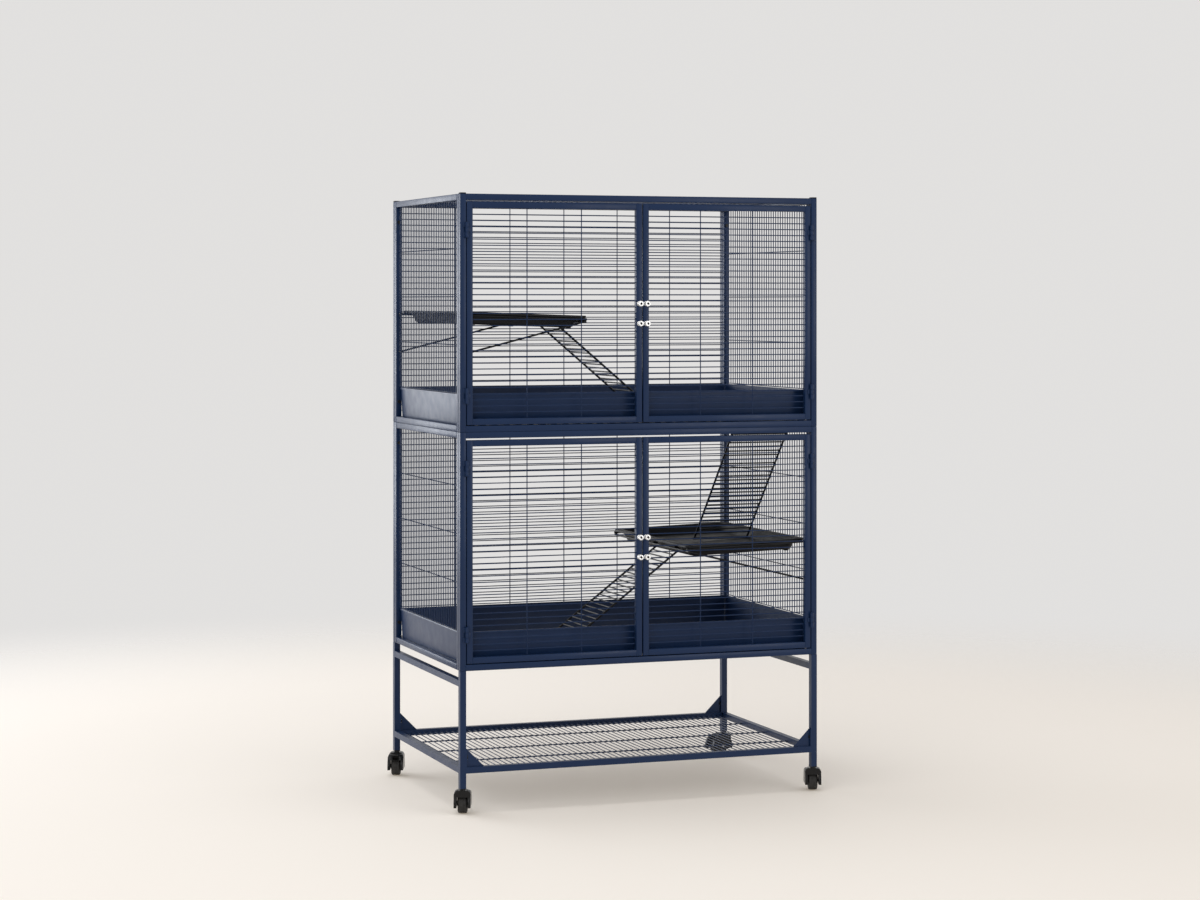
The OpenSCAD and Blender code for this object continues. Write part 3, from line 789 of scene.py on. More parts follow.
@dataclass
class Grille:
    """A tube frame with close wires one way and a few cross wires on its inner side."""

    width: float
    height: float
    run: Run
    cross: int
    sill: float = 78.0  # where upright wires start, above the pan

    def build(self, shaper: Shaper) -> None:
        """Adds the grille, standing in the XZ plane with its outer face at y = 0.

        Args:
            shaper: Where it goes.
        """
        TubeFrame(self.width, self.height).build(shaper)
        reach, top, axis = self.width / 2 - CAGE.tube, self.height - CAGE.tube, CAGE.tube / 2
        behind = axis + CAGE.crossing(CAGE.wire, CAGE.wire)
        if self.run is Run.ACROSS:
            self.level(shaper, at_pitch(CAGE.tube, top, CAGE.pitch), axis)
            self.upright(shaper, between(-reach, reach, self.cross + 1), behind, axis)
        else:
            self.upright(shaper, at_pitch(-reach, reach, CAGE.pitch), axis, self.sill)
            self.level(shaper, [self.sill, *between(self.sill, top, self.cross)], behind)

    def level(self, shaper: Shaper, heights: list[float], y: float) -> None:
        """Adds wires from post to post.

        Args:
            shaper: Where they go.
            heights: The height of each.
            y: Depth of their axes behind the outer face.
        """
        reach = (self.width - CAGE.tube) / 2
        for z in heights:
            shaper.wire((-reach, y, z), (reach, y, z), CAGE.wire / 2)

    def upright(self, shaper: Shaper, places: list[float], y: float, low: float) -> None:
        """Adds wires that end in the top tube.

        Args:
            shaper: Where they go.
            places: The place of each along X.
            y: Depth of their axes behind the outer face.
            low: Height of their lower ends.
        """
        for x in places:
            shaper.wire((x, y, low), (x, y, self.height - CAGE.tube / 2), CAGE.wire / 2)


@dataclass
class FlatGrid:
    """A grate or the roof: wires from front to back in a rim of square bar."""

    bar: float
    wire: float
    pitch: float
    cross: int
    top: float
    edge: float = 0.8
    lap: float = 0.5  # how far a bar runs into the next
    step: float = 0.02  # how far its faces lie behind the next one's

    def build(self, shaper: Shaper) -> None:
        """Adds the grid.

        Args:
            shaper: Where it goes.
        """
        width, depth, bar = CAGE.inner_width, CAGE.inner_depth, self.bar
        middle = self.top - bar / 2
        for sign in (-1, 1):
            shaper.block((sign * (width - bar) / 2, 0, middle), (bar, depth, bar), self.edge)
            shaper.block((0, sign * (depth - bar) / 2, middle),
                         (width - 2 * bar + 2 * self.lap, bar - 2 * self.step, bar), self.edge)
        z = self.top - self.wire / 2
        for x in at_pitch(-width / 2, width / 2, self.pitch):
            front, back = self.run_back(x)
            shaper.wire((x, front, z), (x, back, z), self.wire / 2)
        z -= CAGE.crossing(self.wire, self.wire)
        for y in between(-depth / 2, depth / 2, self.cross + 1):
            for left, right in self.runs_across(y):
                shaper.wire((left, y, z), (right, y, z), self.wire / 2)

    def run_back(self, x: float) -> Span:
        """Front and back end of the wire at one place along X."""
        reach = (CAGE.inner_depth - self.bar) / 2
        return -reach, reach

    def runs_across(self, y: float) -> list[Span]:
        """Left and right end of each cross wire at one place along Y."""
        reach = (CAGE.inner_width - self.bar) / 2
        return [(-reach, reach)]


@dataclass
class HatchGrid(FlatGrid):
    """The upper floor grate, with the hatch and the rod that the middle ramp hooks over."""

    rim: float = 8.0
    rod: float = 2.5
    rod_y: float = -212.0
    rod_drop: float = 5.2
    rod_end: float = 2.0

    def build(self, shaper: Shaper) -> None:
        """Adds the grate, the hatch's rim and the rod.

        Args:
            shaper: Where it goes.
        """
        super().build(shaper)
        low, high, back = self.top - self.bar, self.top, HATCH.back + self.rim
        front = self.lap - CAGE.inner_depth / 2
        for x in (HATCH.left - self.rim, HATCH.right):
            shaper.bar((x, front, low), (x + self.rim, back, high), self.edge)
        shaper.bar((HATCH.left - self.lap, HATCH.back, low), (HATCH.right + self.lap, back, high), self.edge)
        z = self.top - self.rod_drop
        shaper.wire((HATCH.left - self.rod_end, self.rod_y, z), (HATCH.right + self.rod_end, self.rod_y, z),
                    self.rod, 20)

    def run_back(self, x: float) -> Span:
        """Front and back end of the wire at one place along X, which starts behind the hatch there.

        Args:
            x: The place.

        Returns:
            The two ends along Y.
        """
        front, back = super().run_back(x)
        if abs(x - HATCH.x) < HATCH.width / 2 + self.rim:
            front = HATCH.back + self.rim / 2
        return front, back

    def runs_across(self, y: float) -> list[Span]:
        """Left and right end of each cross wire at one place along Y, two of them beside the hatch.

        Args:
            y: The place.

        Returns:
            The ends of each along X.
        """
        runs = super().runs_across(y)
        if y < HATCH.back:
            left, right = runs[0]
            runs = [(left, HATCH.left - self.rim / 2), (HATCH.right + self.rim / 2, right)]
        return runs


@dataclass
class Knuckles:
    """The three barrels of a hinge and their leaves."""

    height: float = 30.0
    inset: float = 58.0
    outer: float = 3.7
    bore: float = 1.95
    chamfer: float = 0.35
    mouth: float = 0.2
    reach: float = 8.0
    plate: float = 1.6
    sink: float = 0.3
    edge: float = 0.45
    gap: float = 0.15
    beside: float = 0.75  # from a post's inner face to the axis
    proud: float = 4.0  # from the frame's outer face to the axis

    @property
    def axis_x(self) -> float:
        """Distance of a hinge axis from the middle."""
        return CAGE.width / 2 - CAGE.tube - self.beside

    @property
    def third(self) -> float:
        """A barrel's share of the height."""
        return self.height / 3

    def starts(self, floor: float) -> Span:
        """Heights of the lower ends of the two hinges on the storey that starts at floor."""
        return floor + self.inset, floor + CAGE.storey - self.inset - self.height

    def barrel(self, shaper: Shaper, side: Side, low: float, high: float, away: int) -> None:
        """Adds one barrel with its leaf.

        Args:
            shaper: Where it goes.
            side: Which post the hinge is on.
            low: Height of its lower end.
            high: Height of its upper end.
            away: The way its leaf points along X.
        """
        x, face = side.value * self.axis_x, -CAGE.depth / 2
        r, c, tall = self.outer, self.chamfer, high - low
        outline = [(self.bore, self.mouth), (r - c, 0), (r, c), (r, tall - c), (r - c, tall),
                   (self.bore, tall - self.mouth)]
        shaper.lathe(outline, (x, face - self.proud, low), 28)
        shaper.block((x + away * self.reach / 2, face + (self.sink - self.plate) / 2, (low + high) / 2),
                     (self.reach, self.plate + self.sink, tall), self.edge)

    def fixed(self, shaper: Shaper, side: Side, floor: float) -> None:
        """Adds the two outer barrels of both hinges on one post.

        Args:
            shaper: Where they go.
            side: Which post.
            floor: Height of the storey's underside.
        """
        for z in self.starts(floor):
            self.barrel(shaper, side, z, z + self.third - self.gap, side.value)
            self.barrel(shaper, side, z + 2 * self.third + self.gap, z + self.height, side.value)

    def swinging(self, shaper: Shaper, side: Side, floor: float) -> None:
        """Adds the middle barrel of both hinges on one door.

        Args:
            shaper: Where they go.
            side: Which door.
            floor: Height of the storey's underside.
        """
        for z in self.starts(floor):
            self.barrel(shaper, side, z + self.third + self.gap, z + 2 * self.third - self.gap, -side.value)


@dataclass
class Shell:
    """Front frames, back and side panels, roof and floor grates."""

    shop: Workshop
    knuckles: Knuckles = field(default_factory=Knuckles)
    back_cross: int = 5
    side_cross: int = 4
    rim_bar: float = 8.0
    roof_cross: int = 4
    roof_drop: float = 2.0
    grate_wire: float = 4.0
    grate_pitch: float = 25.4
    grate_cross: int = 3

    def build(self) -> None:
        """Builds every piece of the shell."""
        for storey in Storey:
            self.front(storey)
            self.back(storey)
            for side in Side:
                self.flank(storey, side)
        self.roof()
        self.grate(Storey.LOWER, FlatGrid)
        self.grate(Storey.UPPER, HatchGrid)

    def front(self, storey: Storey) -> None:
        """Builds one front frame with its hinge barrels.

        Args:
            storey: Which storey.
        """
        floor = CAGE.floor(storey)
        shaper = Shaper(Matrix.Translation((0, -CAGE.depth / 2, floor)))
        TubeFrame(CAGE.width, CAGE.storey).build(shaper)
        shaper.place = Matrix.Identity(4)
        for side in Side:
            self.knuckles.fixed(shaper, side, floor)
        self.shop.fit(shaper.piece(f"{storey.word}_front"), Paint.NAVY, "cage",
                      f"{storey.word}_front_frame")

    def back(self, storey: Storey) -> None:
        """Builds one back panel.

        Args:
            storey: Which storey.
        """
        shaper = Shaper(Matrix.Translation((0, CAGE.depth / 2, CAGE.floor(storey)))
                        @ Matrix.Rotation(math.pi, 4, "Z"))
        Grille(CAGE.width, CAGE.storey, Run.ACROSS, self.back_cross).build(shaper)
        self.shop.fit(shaper.piece(f"{storey.word}_back"), Paint.NAVY, "cage", f"{storey.word}_back_panel")

    def flank(self, storey: Storey, side: Side) -> None:
        """Builds one side panel.

        Args:
            storey: Which storey.
            side: Which side.
        """
        shaper = Shaper(Matrix.Translation((side.value * CAGE.width / 2, 0, CAGE.floor(storey)))
                        @ Matrix.Rotation(side.value * math.pi / 2, 4, "Z"))
        Grille(CAGE.inner_depth, CAGE.storey, Run.UPRIGHT, self.side_cross).build(shaper)
        name = f"{storey.word}_{side.word}"
        self.shop.fit(shaper.piece(f"{name}_side"), Paint.NAVY, "cage", f"{name}_panel")

    def roof(self) -> None:
        """Builds the roof's grille."""
        shaper = Shaper()
        top = CAGE.floor(Storey.UPPER) + CAGE.storey - self.roof_drop
        FlatGrid(self.rim_bar, CAGE.wire, CAGE.pitch, self.roof_cross, top).build(shaper)
        self.shop.fit(shaper.piece("roof_grille"), Paint.NAVY, "cage", "roof_panel")

    def grate(self, storey: Storey, grid: type[FlatGrid]) -> None:
        """Builds one floor grate.

        Args:
            storey: Which storey.
            grid: The kind of grate.
        """
        shaper = Shaper()
        top = CAGE.floor(storey) + CAGE.tube
        grid(self.rim_bar, self.grate_wire, self.grate_pitch, self.grate_cross, top).build(shaper)
        self.shop.fit(shaper.piece(f"{storey.word}_grate"), Paint.NAVY, "cage",
                      f"{storey.word}_floor_grate")


# ---------------------------------------------------------------- doors


@dataclass
class Doors:
    """The four door leaves, and the insets of their ring knobs."""

    shop: Workshop
    knuckles: Knuckles = field(default_factory=Knuckles)
    hinge_gap: float = 1.5
    meet_gap: float = 2.5
    head_gap: float = 3.6
    sill_gap: float = 1.6
    cross: int = 2
    knob_z: float = 239.0
    knob_gap: float = 41.0
    knob_out: float = 12.0
    knob_dot: float = 2.2
    knob_ring: float = 4.1

    def build(self) -> None:
        """Builds every leaf and knob inset."""
        for storey in Storey:
            for side in Side:
                self.leaf(storey, side)
                self.insets(storey, side)

    def leaf(self, storey: Storey, side: Side) -> None:
        """Builds one door leaf.

        Args:
            storey: Which storey.
            side: Which door.
        """
        width = (CAGE.inner_width - 2 * self.hinge_gap - self.meet_gap) / 2
        height = CAGE.storey - 2 * CAGE.tube - self.head_gap - self.sill_gap
        floor = CAGE.floor(storey)
        middle = side.value * (self.meet_gap + width) / 2
        shaper = Shaper(Matrix.Translation((middle, -CAGE.depth / 2, floor + CAGE.tube + self.sill_gap)))
        Grille(width, height, Run.ACROSS, self.cross).build(shaper)
        shaper.place = Matrix.Identity(4)
        self.knuckles.swinging(shaper, side, floor)
        name = f"{storey.word}_{side.word}_door"
        self.shop.fit(shaper.piece(f"{name}_leaf"), Paint.NAVY, name, name)

    def insets(self, storey: Storey, side: Side) -> None:
        """Builds the plated inset in each ring knob and the dark dot in its middle.

        Args:
            storey: Which storey.
            side: Which door.
        """
        x, face = side.value * (self.meet_gap + CAGE.tube) / 2, -CAGE.depth / 2 - self.knob_out
        dot, ring = self.knob_dot, self.knob_ring
        cup = [(dot, 0.9), (dot + 0.4, 0.3), (ring - 0.6, 0.1), (ring, 0.25), (ring, 3.0), (dot, 3.0)]
        plug = [(0.0, 1.0), (dot * 0.7, 1.1), (dot + 0.1, 1.6), (dot + 0.1, 2.8), (0.0, 2.8)]
        for letter, sign in (("a", -1), ("b", 1)):
            z = CAGE.floor(storey) + self.knob_z + sign * self.knob_gap / 2
            body = f"{storey.word}_latch_{letter}" if side is Side.RIGHT else f"{storey.word}_left_door"
            for what, outline, paint in (("inset", cup, Paint.CHROME), ("dot", plug, Paint.CASTER)):
                shaper = Shaper()
                shaper.lathe(outline, (x, face, z), 24, BACK)
                name = f"{storey.word}_{side.word}_knob_{what}_{letter}"
                self.shop.fit(shaper.piece(name), paint, body)


# ---------------------------------------------------------------- pans


@dataclass
class Pans:
    """The two sheet-metal pans with hemmed rims. The lower one slides out to the left."""

    shop: Workshop
    width: float = 772.0
    depth: float = 455.6
    rim: float = 76.0
    sheet: float = 1.2
    lean: float = 2.4
    hem: float = 1.6
    hem_height: float = 4.0
    corner: float = 5.0
    lip: float = 8.0
    lip_start: float = 0.2
    lip_step: float = 0.05  # how far the back lip's faces lie behind the others'
    lip_edge: float = 0.4

    def build(self) -> None:
        """Builds both pans."""
        for storey, body in ((Storey.LOWER, "lower_pan"), (Storey.UPPER, "cage")):
            shaper = Shaper(Matrix.Translation((0, 0, CAGE.floor(storey) + CAGE.tube)))
            if storey is Storey.UPPER:
                self.open_floor(shaper)
                self.lips(shaper)
            else:
                shaper.stack(self.outline())
            self.shop.fit(shaper.piece(f"{storey.word}_pan_sheet"), Paint.NAVY, body,
                          f"{storey.word}_pan")

    def outline(self) -> list[list[Point]]:
        """The pan's shape as rings, each with its inset from the rim, height and corner radius.

        Returns:
            The rings, from the underside up round the hem and down to the inner floor.
        """
        top, sheet, hem, r = self.rim - CAGE.tube, self.sheet, self.hem, self.corner
        foot, start = self.lean + hem, top - self.hem_height
        outside = [(foot + 0.8, 0.0, r), (foot + 0.2, 0.4, r), (foot, 1.1, r),
                   (hem + self.lean * self.hem_height / top, start, r)]
        rolled = [(0.1, start, r + 1), (0.0, start + 0.6, r + 1), (0.0, top - 0.9, r + 1),
                  (0.35, top - 0.2, r + 1), (1.0, top, r + 1)]
        inside = [(hem + sheet - 0.6, top, r), (hem + sheet, top - 0.5, r),
                  (foot + sheet - 0.2, sheet + 1.2, r - 1), (foot + sheet + 0.1, sheet + 0.3, r - 1),
                  (foot + sheet + 0.7, sheet, r - 1)]
        return [rounded_rectangle(self.width - 2 * inset, self.depth - 2 * inset, radius, z)
                for inset, z, radius in outside + rolled + inside]

    def open_floor(self, shaper: Shaper) -> None:
        """Adds the pan with the hatch in its floor.

        Args:
            shaper: Where it goes.
        """
        part = bmesh.new()
        rings = skin(part, self.outline())
        corner_places = ((HATCH.left, HATCH.front), (HATCH.right, HATCH.front),
                         (HATCH.right, HATCH.back), (HATCH.left, HATCH.back))
        above, below = skin(part, [[(x, y, z) for x, y in corner_places] for z in (self.sheet, 0.0)])
        part.edges.index_update()
        for outer, inner in ((rings[0], below), (rings[-1], above)):
            loops = [part.edges.get((ring[i], ring[(i + 1) % len(ring)])) for ring in (outer, inner)
                     for i in range(len(ring))]
            bmesh.ops.triangle_fill(part, use_beauty=True, use_dissolve=False, edges=loops)
        shaper.join(part)

    def lips(self, shaper: Shaper) -> None:
        """Adds the lip on three of the hatch's sides.

        Args:
            shaper: Where it goes.
        """
        low, high, back, step = self.lip_start, self.lip, HATCH.back + self.sheet, self.lip_step
        for x in (HATCH.left - self.sheet, HATCH.right):
            shaper.bar((x, HATCH.front, low), (x + self.sheet, back, high), self.lip_edge)
        shaper.bar((HATCH.left - self.sheet + step, HATCH.back, low),
                   (HATCH.right + self.sheet - step, back - step, high - step), self.lip_edge)


# ---------------------------------------------------------------- platforms


@dataclass
class Platforms:
    """The two moulded platforms: flange, stepped walls, recessed floor, feet and ribs."""

    shop: Workshop
    depth: float = 271.0
    length: float = 450.0
    rim_z: float = 244.0
    tilt: float = 2.0
    gap: float = 0.5
    rim: float = 12.0
    flange: float = 5.0
    wall: float = 3.0
    deep: float = 24.0
    recess: float = 20.0
    lean: float = 9.0
    corner: float = 16.0
    foot: float = 6.0
    foot_height: float = 3.0
    foot_sink: float = 0.6
    foot_inset: float = 32.0
    ribs: int = 7
    rib_pitch: float = 50.0
    rib_width: float = 2.0
    rib_height: float = 1.6
    rib_sink: float = 0.5
    rib_end: float = 6.0
    rib_edge: float = 0.5

    def build(self) -> None:
        """Builds both platforms."""
        for storey, mirror in ((Storey.UPPER, 1), (Storey.LOWER, -1)):
            shaper = Shaper(self.place(storey, mirror))
            self.tray(shaper)
            self.feet(shaper)
            self.floor_ribs(shaper)
            if mirror < 0:
                bmesh.ops.reverse_faces(shaper.mesh, faces=shaper.mesh.faces)
            name = f"{storey.word}_platform"
            self.shop.fit(shaper.piece(f"{name}_tray"), Paint.PLATFORM, "cage", name)

    def place(self, storey: Storey, mirror: int) -> Matrix:
        """Where a platform's own frame lies: the origin in its middle, at the rim's top.

        Args:
            storey: Which storey.
            mirror: 1 at the left side, -1 at the right side.

        Returns:
            The placing matrix.
        """
        start = -CAGE.width / 2 + CAGE.tube + self.gap
        flip = Matrix.Diagonal((mirror, 1, 1, 1))
        return (flip @ Matrix.Translation((start, 0, CAGE.floor(storey) + self.rim_z))
                @ Matrix.Rotation(math.radians(self.tilt), 4, "Y")
                @ Matrix.Translation((self.depth / 2, 0, 0)))

    def tray(self, shaper: Shaper) -> None:
        """Adds the tray as rings, each with its inset from the flange's edge, height and corner radius.

        Args:
            shaper: Where it goes.
        """
        rim, lean, deep, r = self.rim, self.lean, self.deep, self.corner
        outer, inner, under, floor = rim + lean, rim + self.wall, -self.flange, -self.recess
        outside = [(outer + 2.0, -deep, r - 2), (outer + 0.5, -deep + 0.5, r), (outer - 0.3, -deep + 2.0, r),
                   (rim + lean * 0.55, -deep * 0.55, r), (rim + lean * 0.5, -deep * 0.5, r),
                   (rim + 1.0, under, r + 2)]
        edge = [(0.8, under, r), (0.0, under + 0.8, r), (0.0, -0.9, r), (0.3, -0.2, r), (1.0, 0.0, r)]
        groove = [(5.2, 0.0, r), (5.8, -0.7, r), (6.8, -0.7, r), (7.4, 0.0, r)]
        inside = [(inner - 0.8, 0.0, r), (inner, -0.7, r), (inner + 2.6, -6.4, r), (inner + 4.4, -7.0, r),
                  (inner + 5.0, -7.6, r), (inner + lean - 0.9, floor + 1.6, r - 2),
                  (inner + lean, floor + 0.4, r - 2), (inner + lean + 0.6, floor, r - 2)]
        shaper.stack([rounded_rectangle(self.depth - 2 * inset, self.length - 2 * inset, radius, z)
                      for inset, z, radius in outside + edge + groove + inside])

    def feet(self, shaper: Shaper) -> None:
        """Adds the four round feet under the tray.

        Args:
            shaper: Where they go.
        """
        r, top = self.foot, self.foot_height + self.foot_sink
        for sx in (-1, 1):
            for sy in (-1, 1):
                x, y = sx * (self.depth / 2 - self.foot_inset), sy * (self.length / 2 - self.foot_inset)
                shaper.lathe([(0, 0), (r - 1, 0), (r, 1), (r, top), (0, top)],
                             (x, y, -self.deep - self.foot_height), 28)

    def floor_ribs(self, shaper: Shaper) -> None:
        """Adds the ribs that run across under the tray's floor.

        Args:
            shaper: Where they go.
        """
        length = self.depth - 2 * (self.rim + self.lean + self.rib_end)
        z = -self.deep + (self.rib_sink - self.rib_height) / 2
        for k in range(self.ribs):
            y = (k - self.ribs // 2) * self.rib_pitch
            shaper.block((0, y, z), (length, self.rib_width, self.rib_height + self.rib_sink),
                         self.rib_edge)


# ---------------------------------------------------------------- stand and shelf


@dataclass
class Shelf:
    """The wire shelf in the stand, and the webs of the gussets that hold it."""

    shop: Workshop
    top: float = 95.0
    bar: float = 3.0
    bars: int = 3
    gusset: float = 39.0
    web: float = 2.4
    web_height: float = 8.8
    bolt_end: float = 4.7
    notch_end: float = 10.6

    def build(self) -> None:
        """Builds the shelf and the webs."""
        self.wires()
        self.gusset_webs()

    def wires(self) -> None:
        """Builds the shelf's wires, which lie on three cross wires."""
        shaper = Shaper()
        width, depth, z = CAGE.inner_width / 2, CAGE.inner_depth / 2, self.top - CAGE.tube / 2
        for x in at_pitch(-width, width, CAGE.pitch):
            shaper.wire((x, -depth, z), (x, depth, z), CAGE.wire / 2)
        z -= CAGE.crossing(CAGE.wire, self.bar)
        for y in between(-CAGE.depth / 2, CAGE.depth / 2, self.bars + 1):
            shaper.wire((-width, y, z), (width, y, z), self.bar / 2, 12)
        self.shop.fit(shaper.piece("shelf_wires"), Paint.NAVY, "cage", "wire_shelf")

    def gusset_webs(self) -> None:
        """Carries each gusset's plate on, past the notch that its bolt goes in by."""
        shaper = Shaper()
        reach = (CAGE.inner_width - self.bolt_end - self.notch_end) / 2
        size = (self.notch_end - self.bolt_end, self.web, self.web_height)
        for x in (-reach, reach):
            for y in (-CAGE.post_y, CAGE.post_y):
                shaper.block((x, y, self.top + self.gusset / 2), size, 0.0)
        self.shop.fit(shaper.piece("gusset_webs"), Paint.NAVY, "cage")


@dataclass
class Casters:
    """Tread, hub and hub caps of the four wheels. Hoods, axles and pedals keep their own meshes."""

    shop: Workshop
    radius: float = 20.0
    width: float = 19.5
    trail: float = 14.0
    bore: float = 3.05
    flank: float = 3.0
    groove_places: tuple[float, ...] = (0.34, 0.5, 0.66)  # shares of the width
    groove_depth: float = 0.5
    groove_mouth: float = 0.8  # half its width at the top
    groove_floor: float = 0.45  # and at the bottom

    def build(self) -> None:
        """Builds the four wheels."""
        for corner in Corner:
            self.wheel(corner)

    def outline(self) -> list[Span]:
        """The wheel's section: up one side, over the grooved tread and down the other.

        Returns:
            Radius and height of each point.
        """
        r = self.radius
        side = [(self.bore, -1.0), (5.2, -1.0), (5.8, -0.5), (6.2, 1.5), (9.0, 2.4), (14.0, 2.4), (15.0, 0.6),
                (15.6, 0.0), (r - self.flank, 0.1), (r - 1.1, 1.0), (r - 0.35, 2.2), (r, 3.6)]
        grooves = []
        for share in self.groove_places:
            z, low = self.width * share, r - self.groove_depth
            grooves += [(r, z - self.groove_mouth), (low, z - self.groove_floor),
                        (low, z + self.groove_floor), (r, z + self.groove_mouth)]
        return side + grooves + [(x, self.width - z) for x, z in reversed(side)]

    def wheel(self, corner: Corner) -> None:
        """Builds one wheel with a grooved tread and a ribbed hub.

        Args:
            corner: Which caster.
        """
        sx, sy, turn = corner.value
        shaper = Shaper(Matrix.Translation((sx * CAGE.post_x, sy * CAGE.post_y, 0))
                        @ Matrix.Rotation(math.radians(turn), 4, "Z")
                        @ Matrix.Translation((0, self.trail, self.radius))
                        @ Matrix.Rotation(math.pi / 2, 4, "Y")
                        @ Matrix.Translation((0, 0, -self.width / 2)))
        shaper.lathe(self.outline(), (0, 0, 0), 48)
        word = corner.word
        self.shop.fit(shaper.piece(f"wheel_tread_{word}"), Paint.TREAD, f"wheel_{word}",
                      f"caster_wheel_{word}")


# ---------------------------------------------------------------- nodes that keep their mesh


@dataclass
class KeptNodes:
    """Nodes whose solids are already right and only need a finish."""

    shop: Workshop
    nodes: dict[str, bpy.types.Object]

    def dress(self) -> None:
        """Finishes every kept node, with the radius of its edges or 0 to leave them."""
        groups: list[tuple[Paint, float, list[str]]] = [
            (Paint.NAVY, 0.9, ["stand_left_frame", "stand_right_frame"]),
            (Paint.NAVY, 0.9, ["stand_front_rail", "stand_back_rail"]),
            (Paint.NAVY, 0.0, ["hinge_pins"]),
            (Paint.BLACK_WIRE, 0.3, ["stand_bolts", "panel_bolts"]),
            (Paint.PLATFORM, 0.5, ["post_caps", "leg_spigots", "storey_spigots"]),
            (Paint.CASTER, 0.3, ["caster_sockets"]),
            (Paint.CHROME, 0.0, [f"{s.word}_left_studs" for s in Storey]),
            (Paint.CHROME, 0.0, [f"{s.word}_latch_{k}" for s in Storey for k in "ab"]),
            (Paint.BLACK_WIRE, 0.0, ["upper_bracket", "lower_bracket"]),
            (Paint.BLACK_WIRE, 0.0, ["upper_ramp", "middle_ramp", "lower_ramp"]),
            (Paint.CASTER, 1.2, [f"caster_hood_{c.word}" for c in Corner]),
            (Paint.CASTER, 0.4, [f"brake_pedal_{c.word}" for c in Corner]),
            (Paint.ZINC, 0.4, [f"caster_axle_{c.word}" for c in Corner]),
        ]
        for paint, edge, names in groups:
            for name in names:
                self.shop.keep(self.nodes[name], paint, edge)


# ---------------------------------------------------------------- studio


@dataclass(frozen=True)
class SoftLamp:
    """A soft rectangular lamp: its place, what it faces, its size in metres and its power in watts."""

    name: str
    at: Point
    towards: Point
    size: Span
    power: float
    colour: Colour

    def hang(self) -> None:
        """Hangs the lamp in the scene."""
        data = bpy.data.lights.new(self.name, "AREA")
        data.shape = "RECTANGLE"
        data.size, data.size_y = self.size
        data.energy = self.power
        data.color = self.colour
        lamp = stand_in_scene(self.name, data)
        lamp.location = self.at
        lamp.rotation_euler = (Vector(self.towards) - Vector(self.at)).to_track_quat("-Z", "Y").to_euler()


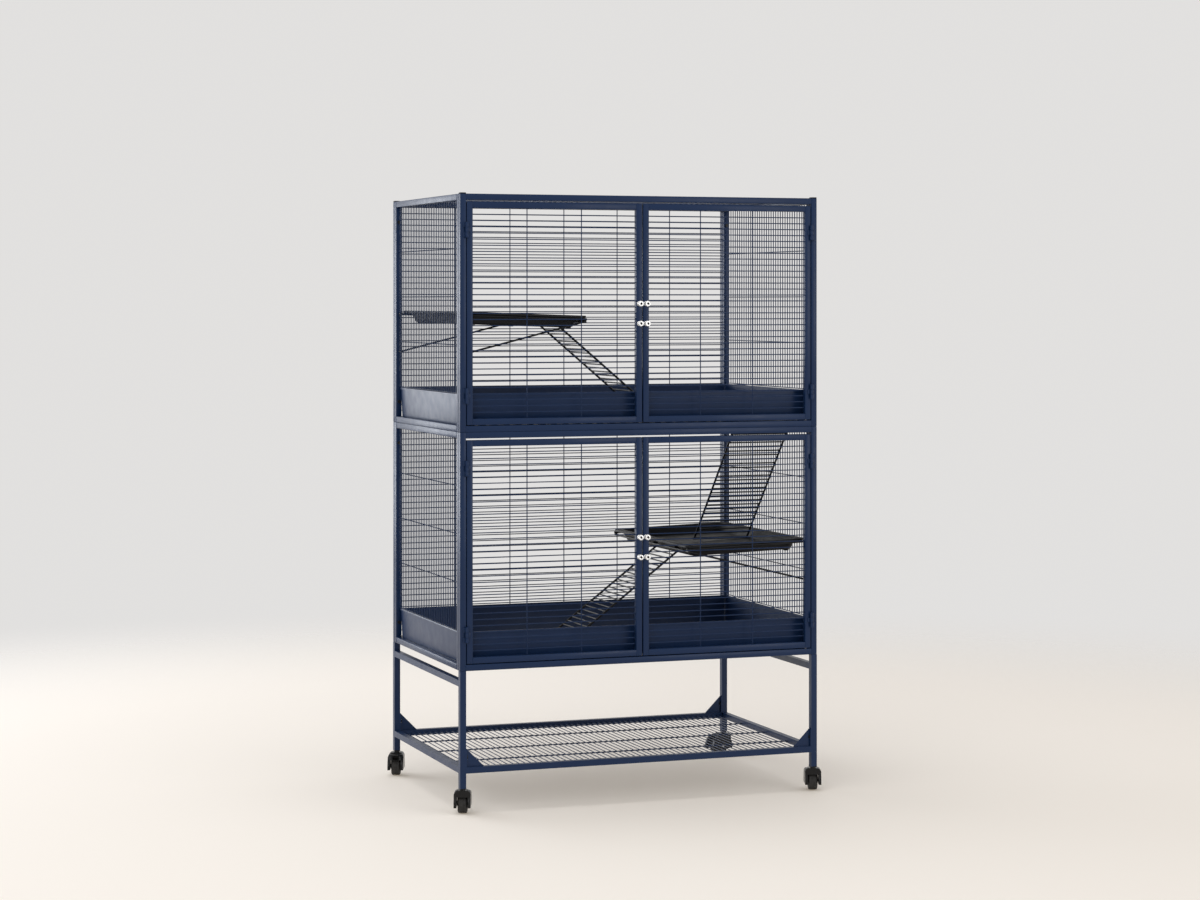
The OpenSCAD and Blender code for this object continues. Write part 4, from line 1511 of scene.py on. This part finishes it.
@dataclass
class Studio:
    """Camera, pale floor and soft light, in metres. The last two lamps show in the tubes' faces."""

    eye: Point = (-1.965, -5.451, 1.038)
    yaw: float = -19.8
    lens: float = 80.7
    sensor: float = 36.0
    shift: float = -0.125
    floor_radius: float = 7.0
    floor_drop: float = 0.0005
    floor_fade: Span = (1.5, 3.4)  # from the middle, where the floor starts to fade and where it ends
    floor_rough: float = 0.75
    floor_colour: Colour = (0.80, 0.765, 0.720)
    floor_glow: Colour = (0.165, 0.135, 0.095)
    wall_colour: Colour = (0.758, 0.748, 0.738)
    room_colour: Colour = (0.93, 0.95, 1.0)
    room_strength: float = 0.58
    lamps: tuple[SoftLamp, ...] = (
        SoftLamp("window", (-3.6, 3.2, 1.5), (0.0, 0.0, 0.75), (3.0, 2.4), 84.0, (0.93, 0.96, 1.0)),
        SoftLamp("ceiling", (-0.8, -0.6, 4.2), (0.0, 0.0, 0.3), (3.4, 3.4), 46.0, (1.0, 0.98, 0.95)),
        SoftLamp("fill", (-3.4, -4.2, 2.9), (0.0, 0.0, 0.7), (3.0, 2.6), 46.0, (1.0, 0.98, 0.96)),
        SoftLamp("left_edge", (-2.3, 4.0, 0.95), (0.0, 0.0, 0.8), (2.2, 1.6), 38.0, (0.93, 0.96, 1.0)),
        SoftLamp("right_front", (2.9, -4.6, 1.3), (0.0, 0.0, 0.8), (1.8, 2.4), 40.0, (1.0, 0.98, 0.97)),
    )

    def build(self) -> None:
        """Sets up the whole studio."""
        self.camera()
        self.floor()
        self.world()
        for lamp in self.lamps:
            lamp.hang()
        bpy.context.scene.view_settings.view_transform = "Standard"

    def camera(self) -> None:
        """Places the camera at the photograph's angle."""
        data = bpy.data.cameras.new("camera")
        data.lens = self.lens
        data.sensor_width = self.sensor
        data.shift_y = self.shift
        camera = stand_in_scene("camera", data)
        camera.location = self.eye
        camera.rotation_euler = (math.pi / 2, 0.0, math.radians(self.yaw))
        bpy.context.scene.camera = camera

    def floor(self) -> None:
        """Makes a round pale floor that fades out into the background."""
        mesh = bmesh.new()
        bmesh.ops.create_circle(mesh, cap_ends=True, segments=96, radius=self.floor_radius)
        data = bpy.data.meshes.new("studio_floor")
        mesh.to_mesh(data)
        mesh.free()
        floor = stand_in_scene("studio_floor", data)
        floor.location.z = -self.floor_drop
        nodes = MaterialLayout("studio_floor")
        reach = nodes.add("VectorMath", Vector=nodes.place)
        reach.operation = "LENGTH"
        start, end = self.floor_fade
        fade = nodes.add("MapRange", Value=reach.outputs["Value"], From_Min=start, From_Max=end,
                         To_Min=1.0, To_Max=0.0)
        fade.interpolation_type = "SMOOTHSTEP"
        data.materials.append(nodes.dress(
            Base_Color=self.floor_colour, Roughness=self.floor_rough, Alpha=fade.outputs["Result"],
            Emission_Color=self.floor_glow, Emission_Strength=nodes.shown()))

    def world(self) -> None:
        """Lights the room evenly and shows a pale wall behind."""
        world = bpy.data.worlds.new("studio")
        world.use_nodes = True
        nodes = NodeLayout(world.node_tree)
        nodes.tree.nodes.clear()
        room = nodes.add("Background", Color=self.room_colour, Strength=self.room_strength)
        wall = nodes.add("Background", Color=self.wall_colour, Strength=1.0)
        mix = nodes.add("MixShader", Fac=nodes.shown())
        nodes.plug(mix.inputs[1], room.outputs["Background"])
        nodes.plug(mix.inputs[2], wall.outputs["Background"])
        nodes.add("OutputWorld", Surface=mix.outputs["Shader"])
        bpy.context.scene.world = world


def main() -> None:
    """Loads the frame, dresses it and writes how large it came out."""
    logging.basicConfig(level=logging.INFO, format="%(message)s")
    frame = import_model()
    shop = Workshop()
    KeptNodes(shop, frame["nodes"]).dress()
    for assembly in (Shell(shop), Doors(shop), Pans(shop), Platforms(shop), Shelf(shop), Casters(shop)):
        assembly.build()
    Studio().build()
    LOG.info("%d pieces made", shop.made)


if __name__ == "__main__":
    main()
